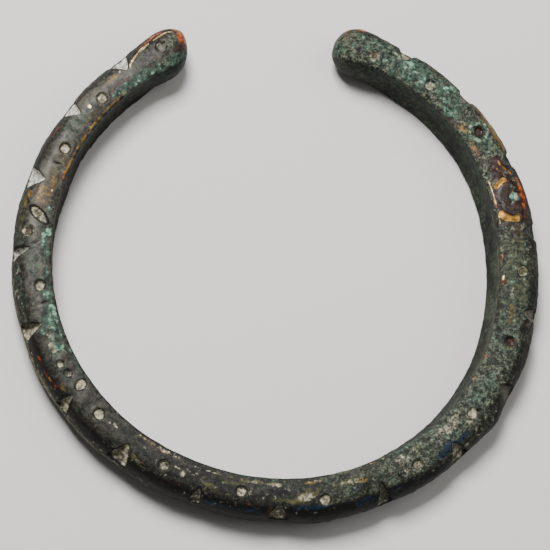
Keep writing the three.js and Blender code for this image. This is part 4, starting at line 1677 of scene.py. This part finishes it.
@dataclass
class Bracelet:
    """The one cast piece: the band, its carving and its patina."""

    form: BandForm

    def mesh(self) -> bpy.types.Mesh:
        """Build the mesh from the worked surface, with a fan at each terminal's end.

        Returns:
            The mesh in metres, in the frame of the CAD model, with one attribute a finish.
        """
        surface = Surface(self.form)
        plain = surface.points.reshape(-1, 3)
        middle = (plain.min(axis=0) + plain.max(axis=0)) / 2
        paint = Paint.none(surface.girth.shape)
        patina = Patina(surface, paint)
        patina.corrode()
        patina.darken()
        patina.patches(PATCHES)
        Halo(surface, paint).build()
        patina.relief()
        Eye(surface, paint).build()
        carving = Carving(surface, paint)
        carving.chips(CHIPS)
        carving.pits(PITS)
        carving.hollows(HOLLOWS)
        carving.cracks(CRACKS)
        points = surface.points
        poles = np.stack([points[0].mean(axis=0), points[-1].mean(axis=0)])
        points = np.concatenate([points.reshape(-1, 3), poles])
        low, high = (np.array(corner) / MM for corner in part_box(NODE))
        target = (low + high) / 2
        shift = np.array([target[0] - middle[0], target[1] - middle[1], low[2]])
        points = (points + shift) * MM
        mesh = bpy.data.meshes.new("bracelet_bronze")
        mesh.from_pydata(points.tolist(), [], self.faces(surface.girth.shape))
        mesh.shade_smooth()
        for finish, amount in paint.items():
            ends = [amount[0].mean(), amount[-1].mean()]
            values = np.concatenate([amount.ravel(), ends]).astype(np.float32)
            mesh.attributes.new(finish.value, "FLOAT", "POINT").data.foreach_set("value", values)
        return mesh

    @staticmethod
    def faces(shape: tuple[int, int]) -> list[list[int]]:
        """Join the grid by four-cornered faces and close each end by a fan.

        Args:
            shape: how many rows the grid has, and how many points each has.

        Returns:
            The corners of each face, anticlockwise from outside.
        """
        rows, sides = shape
        row = np.arange(rows - 1)[:, None] * sides
        side = np.arange(sides)[None, :]
        after = (side + 1) % sides
        quads = np.stack([
            row + side, row + sides + side, row + sides + after, row + after,
        ], axis=-1).reshape(-1, 4)
        last = (rows - 1) * sides
        first_pole = np.full(sides, rows * sides)
        last_pole = first_pole + 1
        first_fan = np.stack([first_pole, side[0], after[0]], axis=-1)
        last_fan = np.stack([last_pole, last + after[0], last + side[0]], axis=-1)
        return quads.tolist() + first_fan.tolist() + last_fan.tolist()

    def build(self) -> bpy.types.Object:
        """Make the piece, dress it and let it stand for the CAD node.

        Returns:
            The bracelet.
        """
        piece = bpy.data.objects.new("bracelet_piece", self.mesh())
        bpy.context.scene.collection.objects.link(piece)
        piece.data.materials.append(OldBronze().material())
        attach(piece, BODY)
        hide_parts(NODE)
        LOG.info("bracelet: %d points, %d faces", len(piece.data.vertices), len(piece.data.polygons))
        return piece


@dataclass
class Table:
    """The plain pale floor that the bracelet lies on."""

    half_size: float = 2.0
    colour: str = "#cfcdc8"
    roughness: float = 0.9

    def build(self) -> bpy.types.Object:
        """Make the floor, one flat face with its top at height zero.

        Returns:
            The floor.
        """
        size = self.half_size
        mesh = bpy.data.meshes.new("table_top")
        corners = [(-size, -size, 0), (size, -size, 0), (size, size, 0), (-size, size, 0)]
        mesh.from_pydata(corners, [], [(0, 1, 2, 3)])
        material = bpy.data.materials.new("matt_pale_board")
        material.use_nodes = True
        shader = material.node_tree.nodes["Principled BSDF"]
        shader.inputs["Base Color"].default_value = linear(self.colour)
        shader.inputs["Roughness"].default_value = self.roughness
        mesh.materials.append(material)
        floor = bpy.data.objects.new("table_top", mesh)
        bpy.context.scene.collection.objects.link(floor)
        LOG.info("table: %.1f m square", 2 * size)
        return floor


@dataclass(frozen=True)
class Lamp:
    """One soft square light: where it stands and how large and strong it is."""

    name: str
    place: tuple[float, float, float]
    size: float
    power: float

    def build(self) -> None:
        """Place the light so that it shines at the origin."""
        data = bpy.data.lights.new(self.name, "AREA")
        data.energy = self.power
        data.size = self.size
        lamp = bpy.data.objects.new(self.name, data)
        lamp.location = self.place
        lamp.rotation_euler = Vector(self.place).to_track_quat("Z", "Y").to_euler()
        bpy.context.scene.collection.objects.link(lamp)
        LOG.info("light %s: %.1f W", self.name, self.power)


LAMPS = (
    Lamp("key", (-0.12, 0.24, 0.46), 0.2, 6.0),
    Lamp("fill", (0.35, 0.1, 0.45), 0.4, 1.0),
)


@dataclass
class Studio:
    """The even grey light of the room."""

    brightness: float = 0.12

    def build(self) -> None:
        """Set the world to one even grey."""
        world = bpy.data.worlds.new("room")
        world.use_nodes = True
        background = world.node_tree.nodes["Background"]
        background.inputs["Color"].default_value = (1, 1, 1, 1)
        background.inputs["Strength"].default_value = self.brightness
        bpy.context.scene.world = world
        LOG.info("room: brightness %.2f", self.brightness)


@dataclass
class View:
    """The photograph's camera.

    It looks down on the bracelet, leaning from straight above towards the lower left. Its
    target is in the part's frame, and size_of_pixel is what one pixel covers there.
    """

    lean: float = 16.34
    lean_towards: float = 235.45
    roll: float = -1.24
    distance: float = 340.0
    target: tuple[float, float, float] = (-0.64, -0.74, 3.5)
    picture_pixels: int = 550
    size_of_pixel: float = 0.1334
    sensor: float = 36.0
    nearest: float = 10.0

    def build(self) -> bpy.types.Object:
        """Place the camera and make it the scene's.

        Returns:
            The camera.
        """
        lean = math.radians(self.lean)
        towards = math.radians(self.lean_towards)
        roll = math.radians(self.roll)
        back = Vector((
            math.sin(lean) * math.cos(towards),
            math.sin(lean) * math.sin(towards),
            math.cos(lean),
        ))
        level = Vector((0, 1, 0)).cross(back).normalized()
        upright = back.cross(level)
        right = math.cos(roll) * level + math.sin(roll) * upright
        up = -math.sin(roll) * level + math.cos(roll) * upright
        data = bpy.data.cameras.new("camera")
        data.sensor_width = self.sensor
        data.lens = self.sensor * self.distance / self.size_of_pixel / self.picture_pixels
        data.clip_start = self.nearest * MM
        camera = bpy.data.objects.new("camera", data)
        turn = Matrix((right, up, back)).transposed().to_4x4()
        place = (Vector(self.target) + self.distance * back) * MM
        camera.matrix_world = Matrix.Translation(place) @ turn
        bpy.context.scene.collection.objects.link(camera)
        bpy.context.scene.camera = camera
        LOG.info("camera: %.0f mm lens", data.lens)
        return camera


def main() -> None:
    """Build the bracelet round the frame, then the floor, the lights and the camera."""
    logging.basicConfig(level=logging.INFO, format="%(name)s: %(message)s")
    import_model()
    form = BandForm(chip_angles=tuple(chip.angle for chip in CHIPS))
    Bracelet(form).build()
    Table().build()
    Studio().build()
    for lamp in LAMPS:
        lamp.build()
    View().build()


if __name__ == "__main__":
    main()
